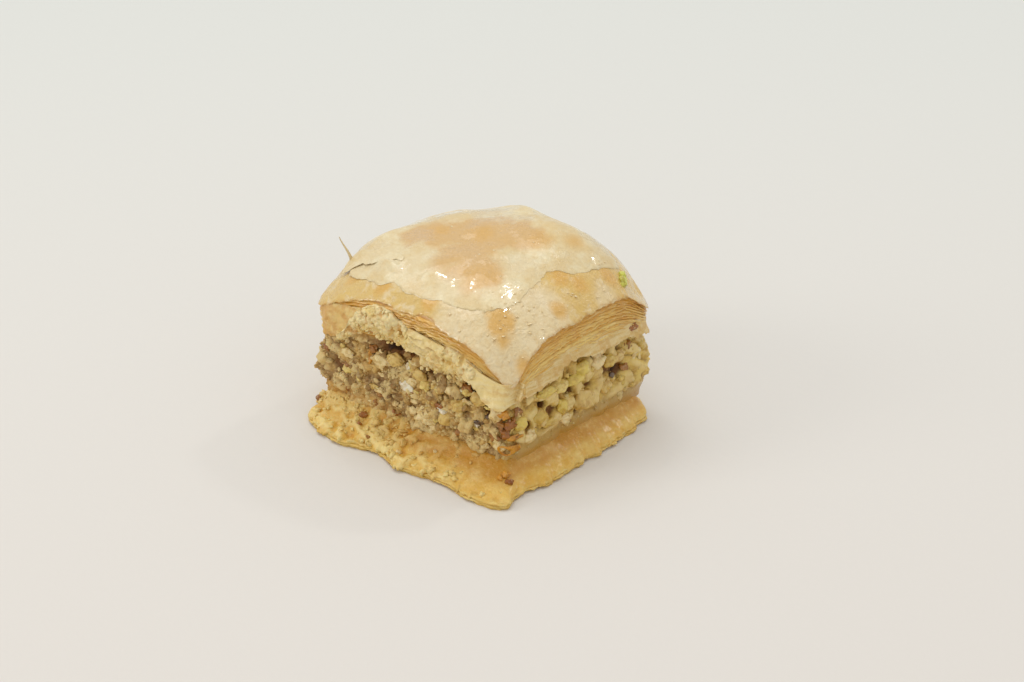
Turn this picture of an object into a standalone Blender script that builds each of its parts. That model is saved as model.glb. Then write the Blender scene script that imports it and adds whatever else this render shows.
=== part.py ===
"""A square of baklava: a domed lid of paper-thin pastry leaves on a nut filling and a soaked base.

Sizes are in millimetres, and MM turns them into Blender's metres. +Z is up. The underside is level at
z = 0, and the origin lies there, under the centre of the cut square. The long side with the broken
leaves faces -Y, and the cleanly cut side faces +X. A spot is a stretch of an outline: its direction in
degrees from +X, its half width in degrees, and what it adds or takes away there.
"""
import math
import random

import bmesh
import bpy
from mathutils import Euler, Matrix, Vector, noise

MM = 0.001

# The cut square, in plan
HALF_X = 25.0
HALF_Y = 21.2
SKEW = math.tan(math.radians(4.8))
CORNER_POWER = 13.0
STEPS_AROUND = 96
GAP = 0.3

# The dome
RIM_FRONT = 22.6
RIM_RIGHT = 23.2
RIM_BACK = 27.0
ARCH_X = 6.6
ARCH_Y = 6.2
ARCH_POWER = 3.0
ARCH_LIMIT = 1.3
BACK_SWELL = 3.6
BACK_SWELL_AT = (0.35, 0.85)
BACK_SWELL_WIDTH = 0.6
FRONT_CORNER = (HALF_X - 1.5, 0.5 - HALF_Y)
RIGHT_CORNER = (HALF_X + 1.5, HALF_Y - 0.5)
CORNER_DROOP = 2.2
CORNER_DROOP_WIDTH = 5.5
DOME_LUMPS = 0.25
DOME_LUMP_SIZE = 6.0
DOME_RINGS = (1.0, 0.84, 0.66, 0.46, 0.24)

# The torn topmost leaf
TOP_LEAF_STEP = 0.6
TOP_LEAF_REACH = 0.85
TORN_FRONT = (-22, 32, 0.25)
LEFT_NOTCH = (-134, 9, 0.05)
LEFT_FLAKE = (-166, 17, 0.08)
SCALLOPS = ((11, 0.022, 0.0), (23, 0.014, 1.0))
LEFT_CURL = (195, 20, 1.8)
BACK_CURL = (107, 17, 2.1)
CURL_FROM = 0.5
CURL_RUN = 0.35

# The lid's underside and its side of leaf edges
UNDER_CORNER = 17.0
UNDER_ARCH_X = 4.2
UNDER_ARCH_Y = 3.2
UNDER_POWER = 2.5
UNDER_RINGS = (0.5, 0.85)
UNDER_RIM_INSET = 0.75
LEAF_EDGES = 6
LEAF_GROOVE = 0.55
LEAF_INSET = 0.1
LEAF_RAGGED = 0.25
LEAF_SPAN = (0.03, 0.97)
RAG_HANG = 1.5
RAG_HANG_LEAST = 0.5
RAG_FOOT_INSET = 0.6
RAG_LUMPS = 0.45
RAG_SPOT = (-92, 40, RAG_HANG - RAG_HANG_LEAST)
BROKEN_SPOT = (-95, 45, 1.0)
BROKEN_LUMPS = 1.1
BROKEN_SWELL = 0.35

# The filling of chopped nuts
FILLING_INSET = 1.4
FILLING_FOOT_OUT = 0.9
FILLING_HEAD_OUT = 0.4
FILLING_LUMPS = 0.6
FILLING_RIGHT_BULGE = (38, 9, 2.2)
FILLING_LEFT_BULGE = (-142, 8, 1.3)
FILLING_TUCK = (0.74, 0.86)
FILLING_LEVELS = 8
NUTS_AROUND = 104
NUT_SIZES = (1.1, 2.6)
NUT_SEED = 41
NUT_SUNK = (0.1, 0.15)
NUT_ROOM = 1.2
NUT_UNDER_RAG = 0.9

# The soaked base
BASE_CENTRE = (1.4, -4.9)
BASE_HALF_X = 29.4
BASE_HALF_Y = 26.3
BASE_POWER = 16.0
BASE_EDGE = 1.5
BASE_TOP = 4.6
BASE_SLOPE = 1.5
BASE_TORN = 1.1
BASE_CUTS = ((-140, 11, 4.6), (42, 10, 2.2), (-103, 12, 2.0), (-62, 8, 1.6), (-33, 7, 1.8))
BASE_EDGE_RINGS = ((8.0, 0.0), (0.7, 0.0), (0.1, 0.25), (0.6, 0.55), (0.0, 0.8), (0.5, 1.1))
BASE_LEDGE_INSET = 0.5
BASE_LEDGE_RINGS = (0.0, 0.18, 0.4, 0.65, 1.0)
BASE_LEDGE_LUMPS = 0.5
BASE_LUMPY_SPOT = (-105, 45, 1.0)
MIDDLE_RING = 0.6


# Shared form
def reach(angle, half_x, half_y, power):
    """Distance from the centre of a rounded rectangle to its outline."""
    across = abs(math.cos(angle)) / half_x
    along = abs(math.sin(angle)) / half_y
    return (across ** power + along ** power) ** (-1 / power)


def plan(angle, offset=0.0, share=1.0):
    """A point of the cut square: at a share of the way out, moved outwards by the offset."""
    distance = reach(angle, HALF_X, HALF_Y, CORNER_POWER) * share + offset
    x = distance * math.cos(angle)
    y = distance * math.sin(angle)
    return x + SKEW * y, y


def grain(x, y, z, size):
    """Smooth unevenness from -1 to 1, with lumps of about the given size."""
    return noise.noise(Vector((x, y, z)) / size)


def hill(distance, width):
    """1 at the middle of a bump, and falling to 0 at about twice its width."""
    return math.exp(-(distance / width) ** 2)


def at_spot(angle, spot):
    """What a spot adds in a direction."""
    middle, width, amount = spot
    turn = (math.degrees(angle) - middle + 180) % 360 - 180
    return amount * hill(turn, width)


def lid_top(x, y):
    """Height of the domed top, without the topmost leaf."""
    across = (x - SKEW * y) / HALF_X
    along = y / HALF_Y
    right = (1 + across) / 2
    back = (1 + along) / 2
    back_rim = (1 - right) * RIM_BACK + right * RIM_RIGHT
    rim = (1 - back) * RIM_FRONT + back * back_rim
    arch = ARCH_X * (1 - min(ARCH_LIMIT, abs(across)) ** ARCH_POWER)
    arch += ARCH_Y * (1 - min(ARCH_LIMIT, abs(along)) ** ARCH_POWER)
    from_swell = math.hypot(across - BACK_SWELL_AT[0], along - BACK_SWELL_AT[1])
    swell = BACK_SWELL * hill(from_swell, BACK_SWELL_WIDTH)
    droop = 0.0
    for corner_x, corner_y in (FRONT_CORNER, RIGHT_CORNER):
        droop += CORNER_DROOP * hill(math.hypot(x - corner_x, y - corner_y), CORNER_DROOP_WIDTH)
    return rim + arch + swell - droop + DOME_LUMPS * grain(x, y, 0, DOME_LUMP_SIZE)


def lid_under(x, y):
    """Height of the lid's arched underside."""
    across = min(1, abs(x - SKEW * y) / HALF_X)
    along = min(1, abs(y) / HALF_Y)
    arch = UNDER_ARCH_X * (1 - across ** UNDER_POWER) + UNDER_ARCH_Y * (1 - along ** UNDER_POWER)
    return UNDER_CORNER + arch


def around():
    """The angles of every ring of points."""
    return [2 * math.pi * step / STEPS_AROUND for step in range(STEPS_AROUND)]


def loft(name, rings, lowest, highest):
    """A closed solid through rings of points, from the middle of its underside to that of its top."""
    form = bmesh.new()
    rows = [[form.verts.new(Vector(point) * MM) for point in ring] for ring in rings]
    first = form.verts.new(Vector(lowest) * MM)
    last = form.verts.new(Vector(highest) * MM)
    for step in range(STEPS_AROUND):
        after = (step + 1) % STEPS_AROUND
        form.faces.new((first, rows[0][after], rows[0][step]))
        form.faces.new((last, rows[-1][step], rows[-1][after]))
        for inner, outer in zip(rows, rows[1:]):
            form.faces.new((inner[step], inner[after], outer[after], outer[step]))
    bmesh.ops.triangulate(form, faces=form.faces[:])
    mesh = bpy.data.meshes.new(name)
    form.to_mesh(mesh)
    form.free()
    return mesh


def food(name, mesh, colour, roughness):
    """An object of the mesh, with its own material."""
    material = bpy.data.materials.new(name)
    material.use_nodes = True
    shader = material.node_tree.nodes["Principled BSDF"]
    shader.inputs["Base Color"].default_value = (*colour, 1)
    shader.inputs["Roughness"].default_value = roughness
    shader.inputs["Metallic"].default_value = 0.0
    mesh.materials.append(material)
    thing = bpy.data.objects.new(name, mesh)
    bpy.context.collection.objects.link(thing)
    return thing


# Lid of pastry leaves
def top_leaf_share(angle):
    """How far out the torn topmost leaf reaches, as a share of the cut square."""
    torn = at_spot(angle, TORN_FRONT) + at_spot(angle, LEFT_NOTCH)
    scallops = sum(depth * math.sin(count * angle + start) for count, depth, start in SCALLOPS)
    return TOP_LEAF_REACH - torn + at_spot(angle, LEFT_FLAKE) + scallops


def leaf_lift(angle, share):
    """How far the dry top leaf has curled up, at its left and at its back."""
    towards_edge = max(0.0, min(1.0, (share - CURL_FROM) / CURL_RUN))
    return (at_spot(angle, LEFT_CURL) + at_spot(angle, BACK_CURL)) * towards_edge ** 2


def rag_hang(angle):
    """How far the broken lower leaves hang over the filling, most of all at the front."""
    x, y = plan(angle)
    return RAG_HANG_LEAST + at_spot(angle, RAG_SPOT) + RAG_LUMPS * grain(x, y, 3, 3.5)


def lid_side(angle, share_up, offset):
    """A point of the lid's side, a share of the way from its ragged lower edge to its rim."""
    x, y = plan(angle, offset)
    rim_x, rim_y = plan(angle)
    low = lid_under(rim_x, rim_y) - rag_hang(angle)
    high = lid_top(rim_x, rim_y)
    return x, y, low + (high - low) * share_up


def lid_side_rings():
    """The side of the lid: leaf edges with grooves between them, broken and lumpy at the front."""
    rings = []
    last = 2 * LEAF_EDGES
    lowest, highest = LEAF_SPAN
    for level in range(last + 1):
        share_up = lowest + (highest - lowest) * level / last
        groove = LEAF_GROOVE if level % 2 else 0.0
        ring = []
        for angle in around():
            x, y = plan(angle)
            broken = at_spot(angle, BROKEN_SPOT) * (1 - share_up)
            ragged = LEAF_RAGGED * grain(x, y, 5 * level, 2.4)
            ragged += BROKEN_LUMPS * broken * grain(x, y, 4 * share_up, 3.2)
            offset = ragged + BROKEN_SWELL * broken - LEAF_INSET - groove
            ring.append(lid_side(angle, share_up, offset))
        rings.append(ring)
    return rings


def lid_top_ring(share_at, raise_by):
    """A ring on the dome; share_at gives its share of the way out for an angle."""
    ring = []
    for angle in around():
        share = share_at(angle)
        x, y = plan(angle, 0, share)
        lift = leaf_lift(angle, share) if raise_by else 0.0
        ring.append((x, y, lid_top(x, y) + raise_by + lift))
    return ring


def lid_under_ring(share, offset=0.0):
    """A ring on the lid's underside."""
    points = [plan(angle, offset, share) for angle in around()]
    return [(x, y, lid_under(x, y)) for x, y in points]


def make_lid():
    """The lid: an arched underside, a side of leaf edges, and a dome with a torn leaf on top."""
    rings = [lid_under_ring(share) for share in UNDER_RINGS]
    rings.append(lid_under_ring(1, -UNDER_RIM_INSET))
    rings.append([lid_side(angle, 0.0, -RAG_FOOT_INSET) for angle in around()])
    rings += lid_side_rings()
    rings.append(lid_top_ring(lambda angle: 0.985, 0.0))
    rings.append(lid_top_ring(lambda angle: (1 + top_leaf_share(angle)) / 2, 0.0))
    rings.append(lid_top_ring(lambda angle: top_leaf_share(angle) + 0.012, 0.0))
    for inwards in DOME_RINGS:
        rings.append(lid_top_ring(lambda angle: top_leaf_share(angle) * inwards, TOP_LEAF_STEP))
    mesh = loft("top_pastry", rings, (0, 0, lid_under(0, 0)), (0, 0, lid_top(0, 0) + TOP_LEAF_STEP))
    return food("top_pastry", mesh, (0.73, 0.55, 0.32), 0.42)


# Filling of chopped nuts
def filling_offset(angle, share_up):
    """How far the filling's side stands from the cut square: its foot stands out, and it bulges."""
    x, y = plan(angle)
    lean = FILLING_FOOT_OUT + (FILLING_HEAD_OUT - FILLING_FOOT_OUT) * share_up
    bulge = at_spot(angle, FILLING_RIGHT_BULGE) + at_spot(angle, FILLING_LEFT_BULGE)
    bulge *= math.sin(math.pi * share_up) ** 2
    lumps = FILLING_LUMPS * grain(x, y, 14 * share_up, 3.4)
    tuck_from, tuck_to = FILLING_TUCK
    under_lid = max(0.0, min(1.0, (tuck_to - share_up) / (tuck_to - tuck_from)))
    return -FILLING_INSET + (lean + bulge + lumps) * under_lid


def filling_point(angle, share_up, offset):
    """A point of the filling's side, a share of the way from the base to the lid."""
    x, y = plan(angle, offset)
    low = BASE_TOP + GAP
    high = lid_under(*plan(angle, -FILLING_INSET)) - GAP
    return Vector((x, y, low + (high - low) * share_up))


def filling_core():
    """The packed nuts, as one solid with an uneven side."""
    low = BASE_TOP + GAP
    rings = [[(*plan(angle, 0, MIDDLE_RING), low) for angle in around()]]
    for level in range(FILLING_LEVELS + 1):
        share_up = level / FILLING_LEVELS
        points = [filling_point(angle, share_up, filling_offset(angle, share_up)) for angle in around()]
        rings.append([tuple(point) for point in points])
    for share in reversed(UNDER_RINGS):
        rings.append([(x, y, z - GAP) for x, y, z in lid_under_ring(share)])
    return loft("nut_filling", rings, (0, 0, low), (0, 0, lid_under(0, 0) - GAP))


def chopped_nut(draw, size, place):
    """One chopped nut: a few-sided lump, squashed and turned by chance."""
    form = bmesh.new()
    bmesh.ops.create_icosphere(form, subdivisions=1, radius=size * MM)
    for corner in form.verts:
        corner.co *= draw.uniform(0.82, 1.15)
    squash = Matrix.Diagonal((1.0, draw.uniform(0.65, 0.95), draw.uniform(0.6, 0.85), 1.0))
    turn = Euler([draw.uniform(0, 2 * math.pi) for _ in range(3)]).to_matrix().to_4x4()
    bmesh.ops.transform(form, matrix=Matrix.Translation(place * MM) @ turn @ squash, verts=form.verts)
    mesh = bpy.data.meshes.new("nut")
    form.to_mesh(mesh)
    form.free()
    return bpy.data.objects.new("nut", mesh)


def chopped_nuts():
    """Nuts spread round the side of the filling, clear of the base and of the lid."""
    draw = random.Random(NUT_SEED)
    nuts = bpy.data.collections.new("nuts")
    bpy.context.scene.collection.children.link(nuts)
    golden_step = (math.sqrt(5) - 1) / 2
    for number in range(NUTS_AROUND):
        angle = 2 * math.pi * (number + draw.uniform(-0.4, 0.4)) / NUTS_AROUND
        size = draw.uniform(*NUT_SIZES)
        foot, ceiling = filling_point(angle, 0, 0).z, filling_point(angle, 1, 0).z
        tall = ceiling - foot
        lowest = (size * NUT_ROOM + GAP / 2) / tall
        highest = 1 - (size * NUT_ROOM + RAG_HANG + NUT_UNDER_RAG) / tall
        share_up = lowest + (highest - lowest) * ((number * golden_step) % 1)
        sunk = NUT_SUNK[0] + NUT_SUNK[1] * size
        place = filling_point(angle, share_up, filling_offset(angle, share_up) - sunk)
        nuts.objects.link(chopped_nut(draw, size, place))
    return nuts


def join_nuts(thing, nuts):
    """Fuses the nuts to the core, and keeps the one outer shell."""
    fuse = thing.modifiers.new("nuts", "BOOLEAN")
    fuse.operation = "UNION"
    fuse.operand_type = "COLLECTION"
    fuse.collection = nuts
    fuse.solver = "EXACT"
    bpy.context.view_layer.update()
    fused = bpy.data.meshes.new_from_object(thing.evaluated_get(bpy.context.evaluated_depsgraph_get()))
    thing.modifiers.clear()
    thing.data = fused
    for nut in list(nuts.objects):
        bpy.data.objects.remove(nut)
    bpy.data.collections.remove(nuts)
    keep_largest_shell(fused)


def keep_largest_shell(mesh):
    """Drops loose scraps, and fills hollows that fusing has sealed."""
    form = bmesh.new()
    form.from_mesh(mesh)
    unseen = set(form.faces)
    shells = []
    while unseen:
        front = [unseen.pop()]
        shell = list(front)
        while front:
            for edge in front.pop().edges:
                for face in edge.link_faces:
                    if face in unseen:
                        unseen.remove(face)
                        front.append(face)
                        shell.append(face)
        shells.append(shell)
    shells.sort(key=len)
    for shell in shells[:-1]:
        bmesh.ops.delete(form, geom=shell, context="FACES")
    bmesh.ops.triangulate(form, faces=form.faces[:])
    form.to_mesh(mesh)
    form.free()


def make_filling():
    """The filling: its core with the nuts that show fused on."""
    thing = food("nut_filling", filling_core(), (0.36, 0.26, 0.13), 0.55)
    join_nuts(thing, chopped_nuts())
    return thing


# Soaked base
def base_plan(angle, inset):
    """A point of the base's torn outline, which sticks out most at the front and at the right."""
    distance = reach(angle, BASE_HALF_X, BASE_HALF_Y, BASE_POWER) - inset
    x = BASE_CENTRE[0] + distance * math.cos(angle)
    y = BASE_CENTRE[1] + distance * math.sin(angle)
    distance += BASE_TORN * grain(x, y, 0, 3.0) - sum(at_spot(angle, cut) for cut in BASE_CUTS)
    x = BASE_CENTRE[0] + distance * math.cos(angle)
    y = BASE_CENTRE[1] + distance * math.sin(angle)
    return x + SKEW * y * 0.5, y


def base_edge_ring(inset, height):
    """A ring round the edge of the base."""
    return [(*base_plan(angle, inset), height) for angle in around()]


def base_ledge_ring(share_in):
    """A ring on the sloping ledge, a share of the way from the base's edge to the filling's foot."""
    ring = []
    height = BASE_EDGE + (BASE_TOP - BASE_EDGE) * share_in ** BASE_SLOPE
    for angle in around():
        outer_x, outer_y = base_plan(angle, BASE_LEDGE_INSET)
        inner_x, inner_y = plan(angle, -FILLING_INSET)
        x = outer_x + (inner_x - outer_x) * share_in
        y = outer_y + (inner_y - outer_y) * share_in
        lumps = BASE_LEDGE_LUMPS * grain(x, y, 9, 2.6) * (1 - share_in)
        ring.append((x, y, height + lumps * (0.5 + at_spot(angle, BASE_LUMPY_SPOT))))
    return ring


def make_base():
    """The base: a level underside, a layered edge and a sloping ledge up to the filling."""
    rings = [base_edge_ring(inset, height) for inset, height in BASE_EDGE_RINGS]
    rings += [base_ledge_ring(share_in) for share_in in BASE_LEDGE_RINGS]
    rings.append([(*plan(angle, 0, MIDDLE_RING), BASE_TOP) for angle in around()])
    mesh = loft("base_pastry", rings, (0, 0, 0), (0, 0, BASE_TOP))
    return food("base_pastry", mesh, (0.56, 0.34, 0.1), 0.4)


# The whole piece
for left_over in list(bpy.data.objects):
    bpy.data.objects.remove(left_over)

piece = bpy.data.objects.new("baklava", None)
bpy.context.collection.objects.link(piece)
for layer in (make_base(), make_filling(), make_lid()):
    layer.parent = piece
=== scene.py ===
"""The looks of a square of baklava: torn baked leaves, crumbled leaves, chopped nuts and soaked sheets.

Places are in millimetres in the same frame as the solids, and MM turns them into metres. -Y is the
long side with the broken leaves, +X the cleanly cut side, and the table is at z = 0. A spot on an
outline is its direction in degrees from +X, its half width in degrees, and what it adds there.
"""

import math

import bmesh
import bpy
import numpy as np
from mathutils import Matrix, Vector, noise


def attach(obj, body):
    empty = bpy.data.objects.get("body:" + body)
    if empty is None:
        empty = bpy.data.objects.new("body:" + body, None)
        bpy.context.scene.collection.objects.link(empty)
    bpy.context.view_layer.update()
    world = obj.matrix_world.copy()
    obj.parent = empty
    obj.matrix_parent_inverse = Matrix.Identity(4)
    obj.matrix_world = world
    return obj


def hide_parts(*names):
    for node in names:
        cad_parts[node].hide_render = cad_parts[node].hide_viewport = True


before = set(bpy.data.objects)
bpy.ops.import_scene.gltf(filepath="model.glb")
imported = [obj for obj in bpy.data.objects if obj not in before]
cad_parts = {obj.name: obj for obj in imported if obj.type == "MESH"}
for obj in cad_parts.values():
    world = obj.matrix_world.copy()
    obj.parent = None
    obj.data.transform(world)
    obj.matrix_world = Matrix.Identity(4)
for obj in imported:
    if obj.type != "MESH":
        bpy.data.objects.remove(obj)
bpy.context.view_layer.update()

MM = 0.001

# What each layer's pieces stand for: a solid, and a material slot
LID = ("top_pastry", "baked_leaves")
FILLING = ("nut_filling", "chopped_nuts")
BASE = ("base_pastry", "soaked_pastry")

# The cut square, as in the solids
HALF_X = 25.0
HALF_Y = 21.2
SKEW = math.tan(math.radians(4.8))
CORNER_POWER = 13.0
LEAF_CORNER_POWER = 22.0
RIM_FRONT = 22.6
RIM_RIGHT = 23.2
RIM_BACK = 27.0
ARCH_X = 6.6
ARCH_Y = 6.2
ARCH_POWER = 3.0
ARCH_LIMIT = 1.3
BACK_SWELL = 3.6
BACK_SWELL_AT = (0.35, 0.85)
BACK_SWELL_WIDTH = 0.6
FRONT_CORNER = (HALF_X - 1.5, 0.5 - HALF_Y)
RIGHT_CORNER = (HALF_X + 1.5, HALF_Y - 0.5)
CORNER_DROOP = 2.2
CORNER_DROOP_WIDTH = 5.5
DOME_LUMPS = 0.25
DOME_LUMP_SIZE = 6.0
UNDER_CORNER = 17.0
UNDER_ARCH_X = 4.2
UNDER_ARCH_Y = 3.2
UNDER_POWER = 2.5
LEFT_CURL = (195, 20, 1.8)
BACK_CURL = (107, 17, 2.1)
CURL_FROM = 0.5
CURL_RUN = 0.35
FILLING_INSET = 1.4
FILLING_FOOT_OUT = 0.9
FILLING_HEAD_OUT = 0.4
FILLING_RIGHT_BULGE = (38, 9, 2.2)
FILLING_LEFT_BULGE = (-142, 8, 1.3)
BASE_CENTRE = (1.4, -4.9)
BASE_HALF_X = 29.4
BASE_HALF_Y = 26.3
BASE_POWER = 16.0
BASE_EDGE = 1.5
BASE_TOP = 4.6
BASE_TORN = 1.1
BASE_CUTS = ((-140, 11, 4.6), (42, 10, 2.2), (-103, 12, 2.0), (-62, 8, 1.6), (-33, 7, 1.8))

# The topmost leaf's torn edge: directions, and shares of the way out to the cut square's outline
TORN_EDGE = ((-180, 0.93), (-165, 0.955), (-150, 0.945), (-143, 0.83), (-130, 0.82), (-119, 0.855),
             (-115, 0.79), (-101, 0.85), (-88, 0.845), (-77, 0.815), (-64, 0.81), (-56, 0.78),
             (-48, 0.72), (-40, 0.65), (-30, 0.68), (-18, 0.65), (-6, 0.625), (5, 0.605), (12, 0.65),
             (15, 0.73), (24, 0.77), (34, 0.8), (45, 0.86), (70, 0.9), (100, 0.93), (130, 0.9),
             (155, 0.92), (180, 0.93))

# Broken lower leaves on a cut face: places along it and heights of their upper and lower edges
WALL_TOP = ((-24.6, 24.2), (-22.0, 25.4), (-18.0, 26.2), (-13.5, 26.8))
WALL_FOOT = ((-24.6, 17.4), (-22.0, 17.8), (-18.0, 19.2), (-13.5, 22.6))
LEFT_MASS_TOP = ((-20.5, 18.9), (-18.0, 21.4), (-16.4, 24.4), (-14.6, 26.3), (-12.4, 27.9), (-10.3, 28.9),
                 (-6.6, 28.6), (-4.6, 27.4), (-1.6, 26.1), (0.4, 25.0), (2.4, 23.6))
LEFT_MASS_FOOT = ((-20.5, 18.0), (-16.4, 19.5), (-12.6, 22.8), (-9.4, 22.3), (-5.6, 22.0), (-0.4, 22.3),
                  (2.4, 22.6))
RIGHT_MASS_TOP = ((1.2, 21.2), (3.0, 23.4), (5.5, 24.6), (8.5, 25.5), (11.7, 25.0), (14.9, 23.5),
                  (16.4, 22.7))
RIGHT_MASS_FOOT = ((1.2, 20.2), (3.6, 18.8), (7.2, 19.9), (10.4, 19.4), (14.2, 20.2), (16.4, 21.0))
BACKING_TOP = ((-24.0, 22.0), (-14.0, 26.4), (-6.6, 27.2), (2.0, 25.6), (12.0, 23.4), (18.0, 21.6),
               (24.0, 20.2))
BACKING_FOOT = ((-24.0, 18.0), (-14.0, 22.6), (-6.6, 23.6), (2.0, 22.4), (12.0, 20.8), (18.0, 19.4),
                (24.0, 18.0))
FLAP_TOP = ((13.0, 24.3), (17.0, 22.8), (21.0, 22.0), (24.6, 21.8))
FLAP_FOOT = ((13.0, 21.4), (15.5, 20.4), (17.6, 18.3), (20.0, 17.3), (22.4, 17.2), (24.6, 18.4))
SIDE_LEAF_FOOT = ((-21.0, 17.6), (-18.1, 18.0), (-12.4, 18.2), (-8.1, 18.8), (-6.0, 20.4), (-1.4, 21.0),
                  (1.4, 19.8), (4.2, 18.8), (8.0, 19.4), (12.7, 19.3), (17.8, 18.4), (21.0, 18.2))

# Hollows in the filling's cut faces, painted darkest as shade: place along, height and size
FRONT_HOLLOWS = ((-8.4, 20.2, 1.3), (-6.4, 20.5, 1.9), (-3.4, 20.9, 1.1), (-1.0, 20.5, 1.4),
                 (1.0, 19.5, 1.3), (2.7, 18.5, 1.0), (-12.4, 17.6, 0.9), (-20.8, 12.0, 1.1),
                 (12.6, 16.6, 1.2), (17.4, 14.8, 0.9))
SIDE_HOLLOWS = ((-1.2, 20.2, 1.2), (1.6, 19.6, 1.0), (5.7, 18.8, 1.1), (-10.8, 17.6, 1.1),
                (-7.2, 17.6, 0.9), (-2.8, 13.4, 1.2), (-10.7, 13.2, 0.9), (-8.4, 11.4, 1.2),
                (-0.9, 7.9, 0.8), (3.5, 12.2, 1.0), (11.2, 18.3, 1.1), (8.2, 13.2, 1.0),
                (11.4, 12.6, 1.3), (-14.6, 10.4, 0.8))

# Nuts' colours, as they show in full light
CREAM = (236, 213, 154)
BEIGE = (218, 187, 108)
OLIVE = (210, 178, 84)
PISTACHIO = (224, 198, 96)
YELLOW = (234, 210, 126)
WHITE_NUT = (240, 232, 208)
BROWN = (168, 114, 46)
RUST = (160, 96, 10)
ORANGE = (214, 150, 36)
PURPLE = (106, 84, 66)

# Nuts that show one by one: place along, height, half width, half height and colour
FRONT_NUTS = ((-2.9, 12.8, 1.9, 1.1, WHITE_NUT), (2.0, 14.6, 1.3, 1.2, YELLOW),
              (5.0, 14.8, 1.4, 0.7, YELLOW), (-15.4, 10.8, 0.7, 1.8, YELLOW),
              (-18.4, 15.2, 1.5, 1.0, CREAM), (-20.0, 9.1, 0.8, 0.8, CREAM),
              (-9.3, 16.4, 2.2, 1.4, CREAM), (-5.6, 17.8, 1.9, 1.3, BEIGE), (0.5, 16.4, 1.7, 1.2, BEIGE),
              (8.6, 16.2, 1.8, 1.3, CREAM), (15.6, 16.6, 1.8, 1.5, BEIGE), (19.6, 14.4, 1.3, 1.7, CREAM),
              (10.4, 13.2, 1.6, 1.4, BEIGE), (7.4, 9.4, 1.7, 1.6, BEIGE), (20.6, 7.6, 1.2, 1.0, CREAM))
FRONT_SKINS = ((-24.0, 14.4, 0.9, 0.7, RUST), (-24.0, 10.4, 1.0, 0.6, RUST),
               (-18.8, 12.3, 1.0, 0.6, BROWN), (-12.3, 16.0, 0.5, 1.6, ORANGE),
               (5.3, 11.2, 1.1, 0.8, RUST), (-6.4, 5.6, 1.5, 0.7, RUST), (16.4, 12.0, 0.9, 0.7, PURPLE),
               (15.0, 11.1, 0.7, 0.6, PURPLE), (17.4, 12.9, 0.6, 0.6, PURPLE),
               (10.3, 6.9, 1.1, 0.7, BROWN), (13.4, 6.0, 1.2, 0.6, BROWN), (6.6, 10.4, 0.8, 0.6, ORANGE),
               (21.6, 10.6, 0.8, 1.1, RUST), (21.4, 14.8, 0.9, 0.9, ORANGE),
               (20.8, 12.4, 0.8, 0.8, BROWN), (22.4, 12.6, 0.6, 1.2, RUST), (22.8, 9.6, 0.7, 0.6, ORANGE))
SIDE_NUTS = ((0.6, 17.3, 1.9, 1.6, PISTACHIO), (5.1, 16.9, 1.8, 1.6, CREAM),
             (-1.3, 15.4, 2.4, 1.3, PISTACHIO), (-9.9, 16.0, 2.6, 1.1, PISTACHIO),
             (-5.6, 15.6, 1.6, 1.3, YELLOW), (0.9, 10.0, 2.7, 2.2, BEIGE),
             (-5.1, 10.9, 1.3, 1.7, PISTACHIO), (-12.0, 11.4, 1.7, 1.6, OLIVE),
             (4.8, 14.6, 1.7, 1.3, BEIGE), (8.4, 15.9, 1.5, 1.5, OLIVE), (11.2, 15.7, 2.2, 1.3, BEIGE),
             (7.6, 10.4, 1.5, 1.5, BEIGE), (-14.8, 8.2, 1.6, 1.3, CREAM),
             (-17.2, 12.2, 1.4, 1.5, PISTACHIO), (-8.8, 8.8, 1.9, 1.0, OLIVE),
             (-4.2, 7.8, 1.5, 1.0, CREAM), (12.6, 9.8, 1.4, 1.2, OLIVE), (18.4, 15.4, 1.3, 1.6, OLIVE))
SIDE_SKINS = ((15.3, 20.6, 1.5, 0.9, RUST), (14.4, 16.6, 0.8, 1.0, BROWN), (13.4, 12.4, 0.9, 0.9, BROWN),
              (-17.8, 15.2, 0.8, 1.0, BROWN), (-13.4, 9.6, 0.5, 0.4, PURPLE),
              (-3.2, 6.6, 0.9, 0.3, BROWN), (9.6, 12.0, 0.6, 0.5, PURPLE), (20.0, 10.6, 0.8, 0.6, RUST),
              (-19.2, 13.0, 0.5, 1.1, RUST), (-18.6, 9.6, 0.6, 0.5, BROWN))

# Nuts set by chance on the front: a cluster (place along, height and spread), and chips of mixed colours
CLUSTER = (1.6, 7.6, 3.0)
CLUSTER_NUTS = 16
CHIPS = 70
CHIP_KINDS = (CREAM, CREAM, BEIGE, WHITE_NUT, YELLOW, BROWN)

# Crumbs of ground nuts, set by chance in spans of directions: the front, the back and left, the cut side
SPANS = ((-150, -42), (42, 210), (-42, 42))
# Each kind: name, seed, roundness, count in each span, least and most size, how far out, roughness, shades
CRUMB_KINDS = (("nut_lumps", 3, 3, (52, 44, 0), (0.8, 2.3), -0.5, 0.8, (-0.1, 1.1)),
               ("nut_crumbs", 6, 2, (560, 340, 50), (0.3, 1.1), -0.15, 0.8, (-0.6, 1.1)),
               ("fine_meal", 8, 1, (600, 460, 160), (0.13, 0.36), 0.0, 0.6, (-0.4, 1.1)))

# Bits on the ledge: direction, share of the way in from the edge, size and colour
BASE_BITS = ((-150, 0.05, 0.8, BROWN), (-118, 0.62, 0.9, RUST), (-116, 0.45, 0.5, RUST),
             (-108, 0.2, 0.5, BROWN), (-39, 0.42, 0.9, RUST), (-40, 0.56, 0.9, ORANGE),
             (-42, 0.5, 0.7, ORANGE), (-70, 0.5, 0.5, CREAM), (-88, 0.25, 0.6, CREAM))

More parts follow.
